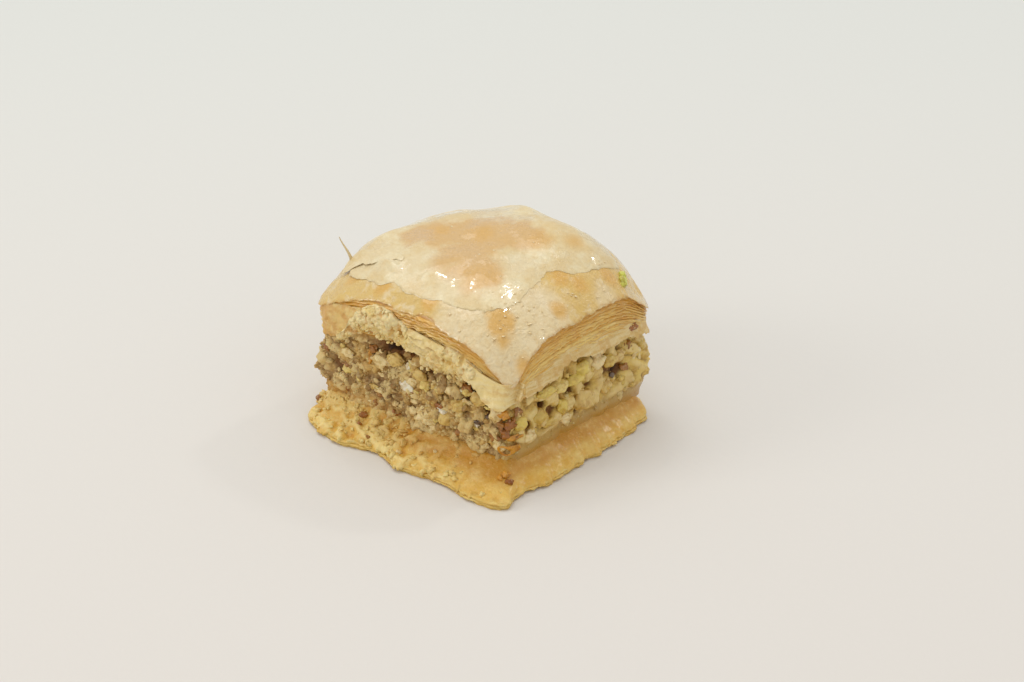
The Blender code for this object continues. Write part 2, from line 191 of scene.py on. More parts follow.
# Drops of syrup on the lid: x and y of a group, how far it spreads and how many
SYRUP_SPOTS = ((16, -11, 2.2, 16), (18, -15, 2.0, 12), (20.5, -17.5, 1.4, 8), (20.5, -8, 1.6, 10),
               (13, -9, 2.0, 8), (21.5, 0.5, 0.8, 5), (24.5, 7, 0.8, 4), (8.5, -17.5, 1.5, 4),
               (19.5, 12, 1.5, 4), (2, 4, 5.0, 8))

# The photograph's frame
PICTURE_WIDTH = 1024
FOCAL_PIXELS = 2400.0
CAMERA_AZIMUTH = math.radians(38.6)
CAMERA_ELEVATION = math.radians(28.5)
CAMERA_DISTANCE = 488.0
AIM_HEIGHT = 14.0
AIM_RIGHT_PIXELS = -28.8
AIM_DOWN_PIXELS = 5.2


# Materials
def paint(red, green, blue):
    """A colour as it shows in the photograph, from 0 to 255, in linear light."""
    parts = [value / 255 for value in (red, green, blue)]
    return (*[part / 12.92 if part < 0.04045 else ((part + 0.055) / 1.055) ** 2.4 for part in parts], 1)


class Wire:
    """A node's output. Sums on it add Math nodes."""

    def __init__(self, recipe, socket):
        self.recipe = recipe
        self.socket = socket

    def math(self, operation, *others):
        values = dict(enumerate((self, *others)))
        return self.recipe.add("ShaderNodeMath", {"operation": operation}, values)

    def __add__(self, other):
        return self.math("ADD", other)

    def __mul__(self, other):
        return self.math("MULTIPLY", other)

    def __sub__(self, other):
        return self.math("SUBTRACT", other)

    def __rsub__(self, other):
        return self.recipe.add("ShaderNodeMath", {"operation": "SUBTRACT"}, {0: other, 1: self})

    __radd__ = __add__
    __rmul__ = __mul__

    def least(self, other):
        return self.math("MINIMUM", other)

    def most(self, other):
        return self.math("MAXIMUM", other)

    def between(self, low, high):
        """0 below low and 1 above high, with a soft step."""
        values = {"Value": self, "From Min": low, "From Max": high}
        return self.recipe.add("ShaderNodeMapRange", {"interpolation_type": "SMOOTHSTEP"}, values)


class Recipe:
    """One material, its nodes, and the colour that they have built up."""

    def __init__(self, name):
        self.material = bpy.data.materials.new(name)
        self.material.use_nodes = True
        self.tree = self.material.node_tree
        self.shader = self.tree.nodes["Principled BSDF"]
        coordinates = self.add("ShaderNodeTexCoord", out="Object")
        self.place = self.vector("SCALE", {0: coordinates, "Scale": 1 / MM})
        self.colour = None

    def feed(self, socket, value):
        """Links a wire to a socket, or sets the socket's value."""
        if isinstance(value, Wire):
            self.tree.links.new(value.socket, socket)
        else:
            socket.default_value = value

    def add(self, kind, settings=None, values=None, out=0):
        """Adds a node: its settings first, then the values or links of its sockets."""
        made = self.tree.nodes.new(kind)
        for key, value in (settings or {}).items():
            setattr(made, key, value)
        for key, value in (values or {}).items():
            self.feed(made.inputs[key], value)
        return Wire(self, made.outputs[out])

    def vector(self, operation, values, out=0):
        """A sum on places."""
        return self.add("ShaderNodeVectorMath", {"operation": operation}, values, out)

    def clouds(self, size, detail=3.0, rough=0.55, twist=0.0, place=None):
        """Noise from 0 to 1 with patches of about this size in mm."""
        values = {"Vector": place or self.place, "Scale": 1 / size, "Detail": detail}
        values.update({"Roughness": rough, "Distortion": twist})
        return self.add("ShaderNodeTexNoise", {}, values)

    def stretched(self, x, y, z):
        """Places with each axis scaled, for marks that run one way."""
        return self.vector("MULTIPLY", {0: self.place, 1: (x, y, z)})

    def carried(self, name, out="Fac"):
        """A number that a piece's points carry, or their colour."""
        return self.add("ShaderNodeAttribute", {"attribute_name": name}, {}, out)

    def axis(self, letter):
        """One coordinate, in mm."""
        return self.add("ShaderNodeSeparateXYZ", {}, {0: self.place}, letter)

    def spot(self, x, y, radius, edge):
        """1 inside an uneven round spot seen from above, fading to 0 past its edge."""
        shift = self.vector("SUBTRACT", {0: self.place, 1: (x, y, 0)})
        flat = self.vector("MULTIPLY", {0: shift, 1: (1, 1, 0)})
        uneven = self.vector("LENGTH", {0: flat}, "Value") + (self.clouds(3.2, 4) - 0.5) * (radius * 1.5)
        return 1 - uneven.between(radius - edge, radius + edge)

    def spots(self, places, edge):
        """1 inside any of some uneven round spots: x, y and radius of each."""
        mask = self.spot(*places[0], edge)
        for place in places[1:]:
            mask = mask.most(self.spot(*place, edge))
        return mask

    def blend(self, share, first, second, kind="MIX"):
        """A colour between two others."""
        settings = {"data_type": "RGBA", "blend_type": kind}
        return self.add("ShaderNodeMix", settings, {0: share, 6: first, 7: second}, 2)

    def start(self, share, first, second):
        """Starts the colour: between two colours as they show."""
        self.colour = self.blend(share, paint(*first), paint(*second))

    def lay(self, share, *colour):
        """Lays a colour over the one built up so far: a wire, or red, green and blue as they show."""
        over = colour[0] if len(colour) == 1 else paint(*colour)
        self.colour = self.blend(share, self.colour, over)

    def finish(self, roughness, bump=None, **others):
        """Feeds the shader: its colour, roughness, a bump's height and depth in mm, and other sockets."""
        values = {"base_color": self.colour, "roughness": roughness, **others}
        if bump:
            height, depth = bump
            bump_values = {"Height": height, "Strength": 1.0, "Distance": depth * MM}
            values["normal"] = self.add("ShaderNodeBump", {}, bump_values)
        for key, value in values.items():
            socket_name = key.replace("_", " ").title().replace("Ior", "IOR")
            self.feed(self.shader.inputs[socket_name], value)
        return self.material


GLOW = {"subsurface_weight": 0.12, "subsurface_radius": (1.0, 0.6, 0.3), "subsurface_scale": 0.6 * MM}

# Spots on the leaves, seen from above: x, y and radius
SOAKED_SPOTS = ((-13, -1.5, 5.2), (-7, 1.5, 6.4), (-1, 4, 6.4), (4, 6.5, 5.0), (-1, -3.5, 5.6),
                (3.0, -6.5, 5.0), (6.4, -8.6, 4.6), (-3, -8.5, 3.0), (1.5, -10, 3.0))
DEEP_SPOTS = ((6.0, -9.0, 3.8), (8.9, 7.4, 2.4), (-12, -0.5, 2.6), (-3, 2.5, 2.6), (13.5, 12, 1.8))
PALE_SPOTS = ((-17, -12, 4.0), (-19, -14.5, 2.5), (-8, -12, 4.0), (3, -14.5, 3.0), (10, -1, 3.5))
RIM_LIGHT_SPOTS = ((19.4, -4.4, 2.4), (25.5, 7.6, 2.6))
RIM_AMBER_SPOTS = ((15.8, -14.8, 2.6), (1.0, -17.8, 1.8), (18.2, -16.8, 1.3), (23.0, -16.8, 1.1),
                   (13.5, -13, 1.6), (17.2, 2.6, 2.2), (20.5, 4.4, 1.8), (22, 12, 1.8),
                   (-19, -16.5, 1.6), (-11.0, -18, 1.5), (22, -4, 1.5))


def torn_leaf_finish(name):
    """The topmost leaf: cream and translucent, tan where it lies on the leaf below, amber where soaked."""
    mix = Recipe(name)
    mottle = mix.clouds(4.5, 5, 0.6, 0.3)
    mix.start(mottle.between(0.4, 0.66), (226, 200, 144), (236, 219, 174))
    mix.lay(mix.clouds(1.6, 5, 0.65).between(0.42, 0.7) * 0.45, 224, 192, 128)
    mix.lay(mix.spots(SOAKED_SPOTS, 1.6) * (mottle * 1.2 + 0.5).least(1.0), 218, 178, 112)
    mix.lay(mix.spots(DEEP_SPOTS, 1.6) * 0.65, 221, 172, 84)
    mix.lay(mix.spots(PALE_SPOTS, 2.5) * 0.3, 240, 229, 196)
    wet = mix.clouds(7, 2).between(0.4, 0.58)
    height = mix.clouds(0.8, 5, 0.65, 0.6) + mix.clouds(3.5, 3, 0.5, 1.2) * 1.4
    return mix.finish(0.42 - wet * 0.2, (height, 0.24), coat_weight=wet * 0.6 + 0.4, coat_roughness=0.08)


def rim_leaf_finish():
    """The leaf under it: golden at the left, cream at the front corner, glazed amber at the right."""
    mix = Recipe("rim_leaf")
    x, y = mix.axis("X"), mix.axis("Y")
    warp = (mix.clouds(5, 4, 0.6) - 0.5) * 9
    mix.start((x + warp).between(6, 14), (222, 188, 108), (224, 188, 106))
    front = (x + warp).between(1.0, 6.0) * (1 - (y + warp * 0.6).between(-6, 0))
    mix.lay(front, 234, 212, 164)
    mix.lay(mix.clouds(1.0, 5, 0.65).between(0.42, 0.75) * 0.4, 214, 168, 86)
    light = mix.clouds(2.4, 5, 0.6, 0.5).between(0.5, 0.7).most(mix.spots(RIM_LIGHT_SPOTS, 1.4))
    mix.lay(light * 0.6, 238, 219, 178)
    amber = mix.spots(RIM_AMBER_SPOTS, 1.0)
    mix.lay(amber * 0.85, 222, 170, 70)
    mix.lay(mix.clouds(0.8, 3, 0.6).between(0.4, 0.6) * mix.carried("edge") * 0.6, 210, 150, 56)
    wet = mix.clouds(4, 2).between(0.36, 0.54).most(amber)
    height = mix.clouds(0.9, 5, 0.6, 0.8) + mix.clouds(2.2, 3, 0.5, 1.5) * 1.8
    return mix.finish(0.4 - wet * 0.2, (height, 0.2), coat_weight=wet * 0.8 + 0.2, coat_roughness=0.06)


def leaf_edge_finish(name, light, dark):
    """Stacked leaves seen at their edges, light and dark from leaf to leaf, with syrup between them."""
    mix = Recipe(name)
    tone = mix.carried("leaf_tone")
    mix.start(tone, dark, light)
    mix.lay(mix.clouds(3.5, 4, 0.6).between(0.48, 0.66) * 0.5, 216, 154, 50)
    mix.lay((tone * -1).between(0, 1) * 0.85, 218, 158, 44)
    along = mix.clouds(1.0, 4, 0.6, 0.3, mix.stretched(0.35, 0.35, 2.5))
    mix.lay(along.between(0.5, 0.66) * 0.45, 244, 222, 152)
    return mix.finish(0.34, (along, 0.14), coat_weight=0.5, coat_roughness=0.1)


def hanging_leaf_finish():
    """Lower leaves that hang free: golden with fine layers, cream yellow where they are dry."""
    mix = Recipe("hanging_leaves")
    mix.start(1 - mix.axis("Y").between(-21.5, -19.0), (220, 184, 108), (238, 212, 140))
    layers = mix.clouds(0.9, 4, 0.6, 0.4, mix.stretched(0.16, 0.16, 1.4))
    mix.lay(layers.between(0.42, 0.62) * 0.6, 240, 220, 164)
    mix.lay(mix.clouds(3.0, 4, 0.6).between(0.46, 0.62) * 0.6, 212, 166, 84)
    fine = mix.clouds(0.9, 4, 0.65)
    mix.lay(fine.between(0.52, 0.72) * 0.5, 244, 226, 174)
    return mix.finish(0.42, (layers + fine, 0.24), coat_weight=0.4, coat_roughness=0.12)


def crumbled_finish():
    """Crumbled lower leaves, pale yellow and fluffy, golden where whole; painted shade in hollows, light on
    crests.
    """
    mix = Recipe("crumbled_leaves")
    # Painted shade and light: the relief's hollows are painted dark and its crests pale, as shade and light
    # would fall
    mix.start(mix.carried("relief").between(-0.7, 0.2), (206, 154, 68), (241, 219, 160))
    mix.lay(mix.clouds(3.5, 3).between(0.44, 0.64) * 0.6, 234, 200, 110)
    mix.lay(mix.clouds(0.9, 4, 0.65).between(0.5, 0.7) * 0.6, 248, 232, 184)
    mix.lay(mix.clouds(1.6, 3, 0.6).between(0.6, 0.7) * 0.4, 216, 160, 72)
    golden = mix.blend(mix.clouds(2.2, 4, 0.6).between(0.4, 0.6), paint(206, 146, 48), paint(228, 190, 108))
    mix.lay(mix.carried("gold"), golden)
    bump = (mix.clouds(0.8, 4, 0.6), 0.16)
    return mix.finish(0.5, bump, coat_weight=0.1, coat_roughness=0.25, **GLOW)


def lay_filling_colours(mix):
    """Beige and taupe nuts, olive beige on the cut side, painted light on lumps and shade in hollows; and
    its wet band.
    """
    relief, x, z = mix.carried("relief"), mix.axis("X"), mix.axis("Z")
    patches = mix.clouds(3.0, 4, 0.6)
    side = x.between(19, 23)
    front = 1 - side
    mix.start(patches.between(0.4, 0.6), (217, 180, 106), (184, 142, 72))
    mix.lay(side, mix.blend(patches.between(0.42, 0.6), paint(230, 200, 112), paint(204, 166, 82)))
    mix.lay(mix.clouds(4.5, 3, 0.55).between(0.46, 0.58) * front * 0.8, 158, 124, 78)
    smooth = x.between(-15, -12) * (1 - x.between(-8, -5)) * z.between(6.5, 8) * (1 - z.between(11, 13))
    mix.lay(smooth * front * 0.7, 152, 120, 82)
    mix.lay((1 - z.between(5.2, 8.4)) * (1 - x.between(-14, -4)) * front * 0.75, 206, 154, 72)
    band = (1 - z.between(6.6, 8.6)) * side
    mix.lay(band, mix.blend(z.between(4.6, 6.0), paint(190, 142, 52), paint(194, 160, 88)))
    fine = mix.clouds(0.7, 4, 0.7)
    rough = (1 - band) * 0.35
    mix.lay(fine.between(0.5, 0.68) * rough, 234, 210, 150)
    mix.lay((1 - fine.between(0.32, 0.46)) * rough, 158, 112, 54)
    # Painted light and shade by relief: lumps painted pale, hollows brown, deep hollows near black; on
    # crumbs the relief is a random tone
    mix.lay(relief.between(0.1, 0.9) * 0.75, 237, 212, 148)
    mix.lay(1 - relief.between(-1.2, -0.2), 132, 88, 38)
    mix.lay((1 - relief.between(-2.4, -1.5)) * 0.9, 62, 36, 20)
    return band


def meal_finish(name):
    """The ground nuts: crumbs of many near colours, with painted shade in their hollows."""
    mix = Recipe(name)
    band = lay_filling_colours(mix)
    return mix.finish(0.55 - band * 0.2, (mix.clouds(0.5, 5, 0.7), 0.2), coat_weight=band * 0.5 + 0.05,
                      coat_roughness=0.2, specular_ior_level=0.35, **GLOW)


def bits_finish(name, roughness, coat):
    """Chopped nuts of one kind: each bit has its own colour, a little blotched."""
    mix = Recipe(name)
    tint = mix.carried("tint", "Color")
    darker = mix.blend(1.0, tint, paint(214, 192, 140), "MULTIPLY")
    mix.colour = mix.blend(mix.clouds(1.4, 4, 0.6).between(0.45, 0.66) * 0.8, tint, darker)
    mix.lay(mix.clouds(0.6, 3, 0.6).between(0.55, 0.75) * 0.35, 244, 228, 182)
    bump = (mix.clouds(0.6, 4, 0.6), 0.12)
    return mix.finish(roughness, bump, coat_weight=coat, coat_roughness=0.2, **GLOW)


def soaked_finish(name):
    """The soaked base: deep orange by the filling, soaked and painted shadow, amber further out, pale on
    torn ridges.
    """
    mix = Recipe(name)
    relief, z = mix.carried("relief"), mix.axis("Z")
    mix.start(mix.clouds(4, 4, 0.6).between(0.4, 0.62), (222, 174, 70), (230, 190, 96))
    # Painted shadow: the band by the filling's foot is soaked deep orange and also darkened as the
    # filling's shadow, more towards +X
    foot = z.between(1.9, 3.3) * (mix.axis("X").between(-12, 4) * 0.65 + 0.35)
    mix.lay(foot * 0.9, 198, 138, 34)
    mix.lay(relief.between(-0.15, 0.5) * (0.95 - foot * 0.5), 240, 214, 138)
    # Painted shade: hollows of the torn relief are painted a darker orange
    mix.lay((1 - relief.between(-1.0, -0.5)) * 0.8, 208, 144, 30)
    mix.lay((1 - z.between(0.7, 1.5)) * 0.4, 230, 196, 104)
    mix.lay(mix.clouds(0.9, 3, 0.6).between(0.5, 0.7) * 0.3, 242, 216, 138)
    mix.lay(mix.clouds(1.6, 4, 0.6, 0.6).between(0.56, 0.68) * 0.35, 206, 150, 48)
    bump = (mix.clouds(0.7, 5, 0.6) + mix.clouds(2.2, 3) * 1.5, 0.2)
    return mix.finish(0.45, bump, coat_weight=0.22, coat_roughness=0.2, specular_ior_level=0.4, **GLOW)


def syrup_finish():
    """Drops of syrup: smooth and glossy, in the leaf's own colours."""
    mix = Recipe("syrup_beads")
    mix.start(mix.clouds(2.0), (230, 200, 138), (238, 216, 168))
    return mix.finish(0.05, coat_weight=1.0, coat_roughness=0.02)


def paper_finish():
    """The plain pale table, with painted light falloff: a little darker and greyer towards the back."""
    mix = Recipe("table")
    far = mix.axis("Y") * 0.78 - mix.axis("X") * 0.62
    mix.start(far.between(-150, 330), (228, 223, 216), (219, 221, 216))
    return mix.finish(0.9, (mix.clouds(1.5, 4, 0.6), 0.05))


# Form shared with the solids
def reach(angle, half_x, half_y, power):
    """Distance from the centre of a rounded rectangle to its outline."""
    across = np.abs(np.cos(angle)) / half_x
    along = np.abs(np.sin(angle)) / half_y
    return (across ** power + along ** power) ** (-1 / power)


def plan(angle, offset=0.0, share=1.0, power=CORNER_POWER):
    """Points of the cut square: at a share of the way out, moved outwards by the offset."""
    distance = reach(angle, HALF_X, HALF_Y, power) * share + offset
    x = distance * np.cos(angle)
    y = distance * np.sin(angle)
    return x + SKEW * y, y


def noise_over(rule, x, y, z, size):
    """A rule of noise at each place of some arrays."""
    spread = np.broadcast_arrays(x, y, z)
    places = (np.stack([part.ravel() for part in spread], -1) / size).tolist()
    return np.array([rule(place) for place in places]).reshape(spread[0].shape)


def grain(x, y, z, size):
    """Smooth unevenness from -1 to 1, with lumps of about the given size."""
    return noise_over(noise.noise, x, y, z, size)


def crumble(x, y, z, size, layers=4, fade=0.8):
    """Rough unevenness, with finer lumps on its lumps; a low fade keeps the fine ones strong."""
    return noise_over(lambda place: noise.fractal(place, fade, 2.1, layers), x, y, z, size)


def puffs(x, y, z, size):
    """Soft rounded lumps with creases between them: 0 in a crease, about 1 on a lump."""
    return np.minimum(1.0, np.abs(grain(x, y, z, size)) * 3.0)


def hill(distance, width):
    """1 at the middle of a bump, and falling to 0 at about twice its width."""
    return np.exp(-(distance / width) ** 2)


def at_spot(angle, spot):
    """What a spot adds in a direction."""
    middle, width, amount = spot
    turn = (np.degrees(angle) - middle + 180) % 360 - 180
    return amount * hill(turn, width)


def ramp(value, low, high):
    """0 below low and 1 above high, with a soft step."""
    share = np.clip((value - low) / (high - low), 0, 1)
    return share * share * (3 - 2 * share)


def along_line(place, line):
    """The height of a line of points at a place along it."""
    places, heights = np.array(line).T
    return np.interp(place, places, heights)


def lid_top(x, y):
    """Height of the domed top, without the topmost leaf."""
    across = (x - SKEW * y) / HALF_X
    along = y / HALF_Y
    right = (1 + across) / 2
    back = (1 + along) / 2
    back_rim = (1 - right) * RIM_BACK + right * RIM_RIGHT
    rim = (1 - back) * RIM_FRONT + back * back_rim
    arch = ARCH_X * (1 - np.minimum(ARCH_LIMIT, np.abs(across)) ** ARCH_POWER)
    arch = arch + ARCH_Y * (1 - np.minimum(ARCH_LIMIT, np.abs(along)) ** ARCH_POWER)
    from_swell = np.hypot(across - BACK_SWELL_AT[0], along - BACK_SWELL_AT[1])
    swell = BACK_SWELL * hill(from_swell, BACK_SWELL_WIDTH)
    droop = 0.0
    for corner_x, corner_y in (FRONT_CORNER, RIGHT_CORNER):
        droop = droop + CORNER_DROOP * hill(np.hypot(x - corner_x, y - corner_y), CORNER_DROOP_WIDTH)
    return rim + arch + swell - droop + DOME_LUMPS * grain(x, y, 0, DOME_LUMP_SIZE)


def lid_under(x, y):
    """Height of the lid's arched underside."""
    across = np.minimum(1, np.abs(x - SKEW * y) / HALF_X)
    along = np.minimum(1, np.abs(y) / HALF_Y)
    arch = UNDER_ARCH_X * (1 - across ** UNDER_POWER) + UNDER_ARCH_Y * (1 - along ** UNDER_POWER)
    return UNDER_CORNER + arch


def leaf_lift(angle, share):
    """How far the dry top leaf has curled up, at its left and at its back."""
    towards_edge = np.clip((share - CURL_FROM) / CURL_RUN, 0, 1)
    return (at_spot(angle, LEFT_CURL) + at_spot(angle, BACK_CURL)) * towards_edge ** 2


def base_plan(angle, inset):
    """Points of the base's torn outline."""
    distance = reach(angle, BASE_HALF_X, BASE_HALF_Y, BASE_POWER) - inset
    x = BASE_CENTRE[0] + distance * np.cos(angle)
    y = BASE_CENTRE[1] + distance * np.sin(angle)
    distance = distance + BASE_TORN * grain(x, y, 0, 3.0) - sum(at_spot(angle, cut) for cut in BASE_CUTS)
    x = BASE_CENTRE[0] + distance * np.cos(angle)
    y = BASE_CENTRE[1] + distance * np.sin(angle)
    return x + SKEW * y * 0.5, y


# Mesh making
CRISP_ANGLE = math.radians(60)


def turns(count):
    """Angles once round."""
    return np.linspace(0, 2 * math.pi, count, endpoint=False)


def grid_faces(rows, columns, wraps, first=0):
    """Quads over a grid of points, row after row."""
    row = np.arange(rows - 1)[:, None] * columns
    column = np.arange(columns if wraps else columns - 1)[None, :]
    after = (column + 1) % columns
    quads = np.stack([row + column, row + columns + column, row + columns + after, row + after], -1)
    return quads.reshape(-1, 4) + first


def strip_faces(upper, lower, closed):
    """Quads between two lines of points."""
    after = np.roll(np.arange(len(upper)), -1)
    quads = np.stack([upper, lower, lower[after], upper[after]], -1)
    return quads if closed else quads[:-1]


def fan_faces(middle, start, steps):
    """Triangles from a middle point to a closed ring of points."""
    return [[middle, start + step, start + (step + 1) % steps] for step in range(steps)]


def placed(x, y, z):
    """Points from their coordinates."""
    return np.stack(np.broadcast_arrays(x, y, z), -1)


def slab(upper, lower, wraps):
    """Points and faces of a thin closed sheet between two grids of points; wraps closes it round."""
    rows, columns = upper.shape[:2]
    count = rows * columns
    points = np.concatenate([upper.reshape(-1, 3), lower.reshape(-1, 3)])
    index = np.arange(count).reshape(rows, columns)
    faces = [grid_faces(rows, columns, wraps), grid_faces(rows, columns, wraps, count)[:, ::-1]]
    faces.append(strip_faces(index[-1], index[-1] + count, wraps)[:, ::-1])
    faces.append(strip_faces(index[0], index[0] + count, wraps))
    if not wraps:
        faces.append(strip_faces(index[:, 0], index[:, 0] + count, False)[:, ::-1])
        faces.append(strip_faces(index[:, -1], index[:, -1] + count, False))
    return points, np.concatenate(faces).tolist()


def sheet(x, y, z, thick, wraps=True):
    """A slab of one thickness, hanging down from a grid of points."""
    upper = placed(x, y, z)
    return slab(upper, upper - np.array([0, 0, thick]), wraps)


def disc(rings, thick):
    """Points and faces of a thin closed leaf without a hole, from rings that go out from its middle."""
    count, steps = rings.shape[:2]
    total = count * steps
    down = np.array([0, 0, thick])
    upper = rings.reshape(-1, 3)
    middle = rings[0].mean(0)
    points = np.concatenate([upper, upper - down, [middle], [middle - down]])
    faces = grid_faces(count, steps, True).tolist()
    faces += grid_faces(count, steps, True, total)[:, ::-1].tolist()
    rim = np.arange(steps) + total - steps
    faces += strip_faces(rim, rim + total, True)[:, ::-1].tolist()
    faces += fan_faces(2 * total, 0, steps) + fan_faces(2 * total + 1, total, steps)
    return points, faces


def capped(rings):
    """Points and faces of a closed body through rings of points, from its lowest ring to its highest."""
    count, steps = rings.shape[:2]
    points = np.concatenate([rings.reshape(-1, 3), [rings[0].mean(0)], [rings[-1].mean(0)]])
    faces = grid_faces(count, steps, True).tolist()
    faces += fan_faces(count * steps, 0, steps) + fan_faces(count * steps + 1, (count - 1) * steps, steps)
    return points, faces


def make(name, layer, groups, material, carry=None, crisp=False):
    """One piece from groups of points and faces. Its points carry values; crisp keeps its edges sharp."""
    points = []
    faces = []
    first = 0
    for group_points, group_faces in groups:
        points.append(group_points)
        faces += [[corner + first for corner in face] for face in group_faces]
        first += len(group_points)
    mesh = bpy.data.meshes.new(name)
    mesh.from_pydata((np.concatenate(points) * MM).tolist(), [], faces)
    for key, values in (carry or {}).items():
        values = np.concatenate(values)
        kind, field = ("FLOAT_COLOR", "color") if values.ndim == 2 else ("FLOAT", "value")
        mesh.attributes.new(key, kind, "POINT").data.foreach_set(field, values.ravel())
    form = bmesh.new()
    form.from_mesh(mesh)
    bmesh.ops.recalc_face_normals(form, faces=form.faces)
    form.to_mesh(mesh)
    form.free()
    mesh.shade_smooth()
    if crisp:
        mesh.set_sharp_from_angle(angle=CRISP_ANGLE)
    mesh.materials.append(material)
    thing = bpy.data.objects.new(name, mesh)
    bpy.context.scene.collection.objects.link(thing)
    node, slot = layer
    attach(thing, "root")
    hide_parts(node)


def lump_form(level):
    """Points and faces of a round lump of one size unit."""
    form = bmesh.new()
    bmesh.ops.create_icosphere(form, subdivisions=level, radius=1)
    points = np.array([corner.co[:] for corner in form.verts])
    faces = np.array([[corner.index for corner in face.verts] for face in form.faces])
    form.free()
    return points, faces


def roughened(draw, points, count, rough):
    """Round lumps made uneven by chance: the points of each of them."""
    where = points[None] * 0.9 + draw.uniform(-50, 50, (count, 1, 3))
    return points[None] * (1 + rough * grain(*np.moveaxis(where, -1, 0), 0.62))[..., None]


def copies(faces, count, each):
    """The faces of many lumps, one after another."""
    return (faces[None] + (np.arange(count) * each)[:, None, None]).reshape(-1, 3).tolist()


def scatter(draw, level, places, sizes, squash, rough):
    """Lumps at places, each squashed, turned and roughened by chance."""
    points, faces = lump_form(level)
    count = len(places)
    quats = draw.normal(size=(count, 4))
    quats /= np.linalg.norm(quats, axis=1)[:, None]
    w, x, y, z = quats.T
    spin = np.stack([1 - 2 * (y * y + z * z), 2 * (x * y - z * w), 2 * (x * z + y * w),
                     2 * (x * y + z * w), 1 - 2 * (x * x + z * z), 2 * (y * z - x * w),
                     2 * (x * z - y * w), 2 * (y * z + x * w), 1 - 2 * (x * x + y * y)], -1)
    stretch = draw.uniform(squash, 1.0, (count, 1, 3))
    solid = roughened(draw, points, count, rough) * stretch * np.asarray(sizes)[:, None, None]
    solid = np.einsum("nij,nkj->nki", spin.reshape(-1, 3, 3), solid) + places[:, None, :]
    return solid.reshape(-1, 3), copies(faces, count, len(points))


def face_point(side, along, out, height):
    """Places on a cut face of the square, standing out from it by a length, and rounded at its corners."""
    sign = 1 if side in ("right", "back") else -1
    lengthways = side in ("front", "back")
    half, far = (HALF_X, HALF_Y) if lengthways else (HALF_Y, HALF_X)
    from_middle = along - SKEW * sign * HALF_Y if lengthways else along
    share = np.clip(np.abs(from_middle) / half, 0, 0.999)
    rounded = (1 - share ** LEAF_CORNER_POWER) ** (1 / LEAF_CORNER_POWER)
    stand = sign * (far * rounded + out)
    return placed(along, stand, height) if lengthways else placed(stand + SKEW * along, along, height)


# Lid of baked leaves
LEAVES = 20
AMBER_LEAVES = 5
LEAF_THICK = 0.14
LEAF_STEPS = 320
LEAF_COLOURS = ((246, 214, 122), (228, 174, 66))
HEART_COLOURS = ((216, 158, 58), (200, 138, 44))
HEART_INSET = -0.75
HEART_DEPTH = 0.35
RIM_THICK = 0.15
RIM_GAPS = ((-112, 9, 0.9), (-80, 9, 1.1))
TOP_THICK = 0.045
FLAP_THICK = 0.06
WRINKLE_SEED = 12
BROKEN_FRONT = (-95, 42, 1.0)
# The green crumb on the lid: its colour, and the places and sizes of its lumps
GREEN = (216, 216, 92)
GREEN_PLACES = ((23.3, 15.4, 30.3), (22.3, 16.4, 30.8), (24.0, 14.4, 29.9))
GREEN_SIZES = (1.3, 0.9, 0.8)


def ragged_edge(angle, seed, coarse, fine):
    """How far a leaf's broken edge comes out or goes in, round the square."""
    x, y = plan(angle)
    return coarse * crumble(x, y, seed * 7.3, 3.2, 3) + fine * crumble(x, y, seed * 3.1 + 40, 0.9, 3)


def leaf_height(x, y, share_up):
    """Height of a leaf that lies a share of the way from the lid's underside to its top."""
    return lid_under(x, y) * (1 - share_up) + lid_top(x, y) * share_up


def stacked_leaf(number, share_up):
    """The outer band of one leaf in the stack, with a torn edge and a slight crinkle."""
    angle = turns(LEAF_STEPS)[None, :]
    across = np.array([0.86, 0.92, 0.96, 0.985, 1.0])[:, None]
    front = at_spot(angle, BROKEN_FRONT)
    low = 1 - share_up
    ragged = ragged_edge(angle, number, 0.28 + 0.5 * front * low, 0.12 + 0.12 * front)
    edge = ragged - 0.3 - 0.7 * front * ramp(low, 0.3, 0.6)
    x, y = plan(angle, edge * ramp(across, 0.84, 1.0), across, LEAF_CORNER_POWER)
    crinkle = 0.16 * crumble(x, y, number * 2.7, 2.4, 3) * ramp(across, 0.84, 0.97)
    curl = (0.25 * grain(x, y, number * 5.0, 5.0) - 0.1) * ramp(across, 0.93, 1.0)
    return sheet(x, y, leaf_height(x, y, share_up) + crinkle + curl, LEAF_THICK)


def leaf_stack():
    """Two pieces: the lower leaves and the upper leaves of the lid, edge over edge."""
    draw = np.random.default_rng(5)
    gaps = draw.uniform(0.6, 1.4, LEAVES)
    shares = 0.02 + 0.93 * np.cumsum(gaps) / gaps.sum()
    half = LEAVES // 2
    for name, numbers in (("lower_leaves", range(half)), ("upper_leaves", range(half, LEAVES))):
        groups = []
        tones = []
        for number in numbers:
            leaf = stacked_leaf(number, shares[number])
            amber = number >= LEAVES - AMBER_LEAVES
            groups.append(leaf)
            tones.append(np.full(len(leaf[0]), draw.uniform(0, 1) - amber))
        make(name, LID, groups, leaf_edge_finish(name, *LEAF_COLOURS), {"leaf_tone": tones})


def lid_heart():
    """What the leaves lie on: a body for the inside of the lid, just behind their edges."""
    angle = turns(200)
    rings = []
    for share in (0.12, 0.5, 0.85):
        x, y = plan(angle, HEART_INSET, share)
        rings.append(placed(x, y, lid_under(x, y)))
    x, y = plan(angle, HEART_INSET)
    for share_up in np.linspace(0.0, 0.95, 12):
        rings.append(placed(x, y, leaf_height(x, y, share_up)))
    for share in (0.9, 0.7, 0.45, 0.12):
        x, y = plan(angle, HEART_INSET, share)
        rings.append(placed(x, y, lid_top(x, y) - HEART_DEPTH))
    body = capped(np.array(rings))
    finish = leaf_edge_finish("lid_heart", *HEART_COLOURS)
    make("lid_heart", LID, [body], finish, {"leaf_tone": [np.zeros(len(body[0]))]})


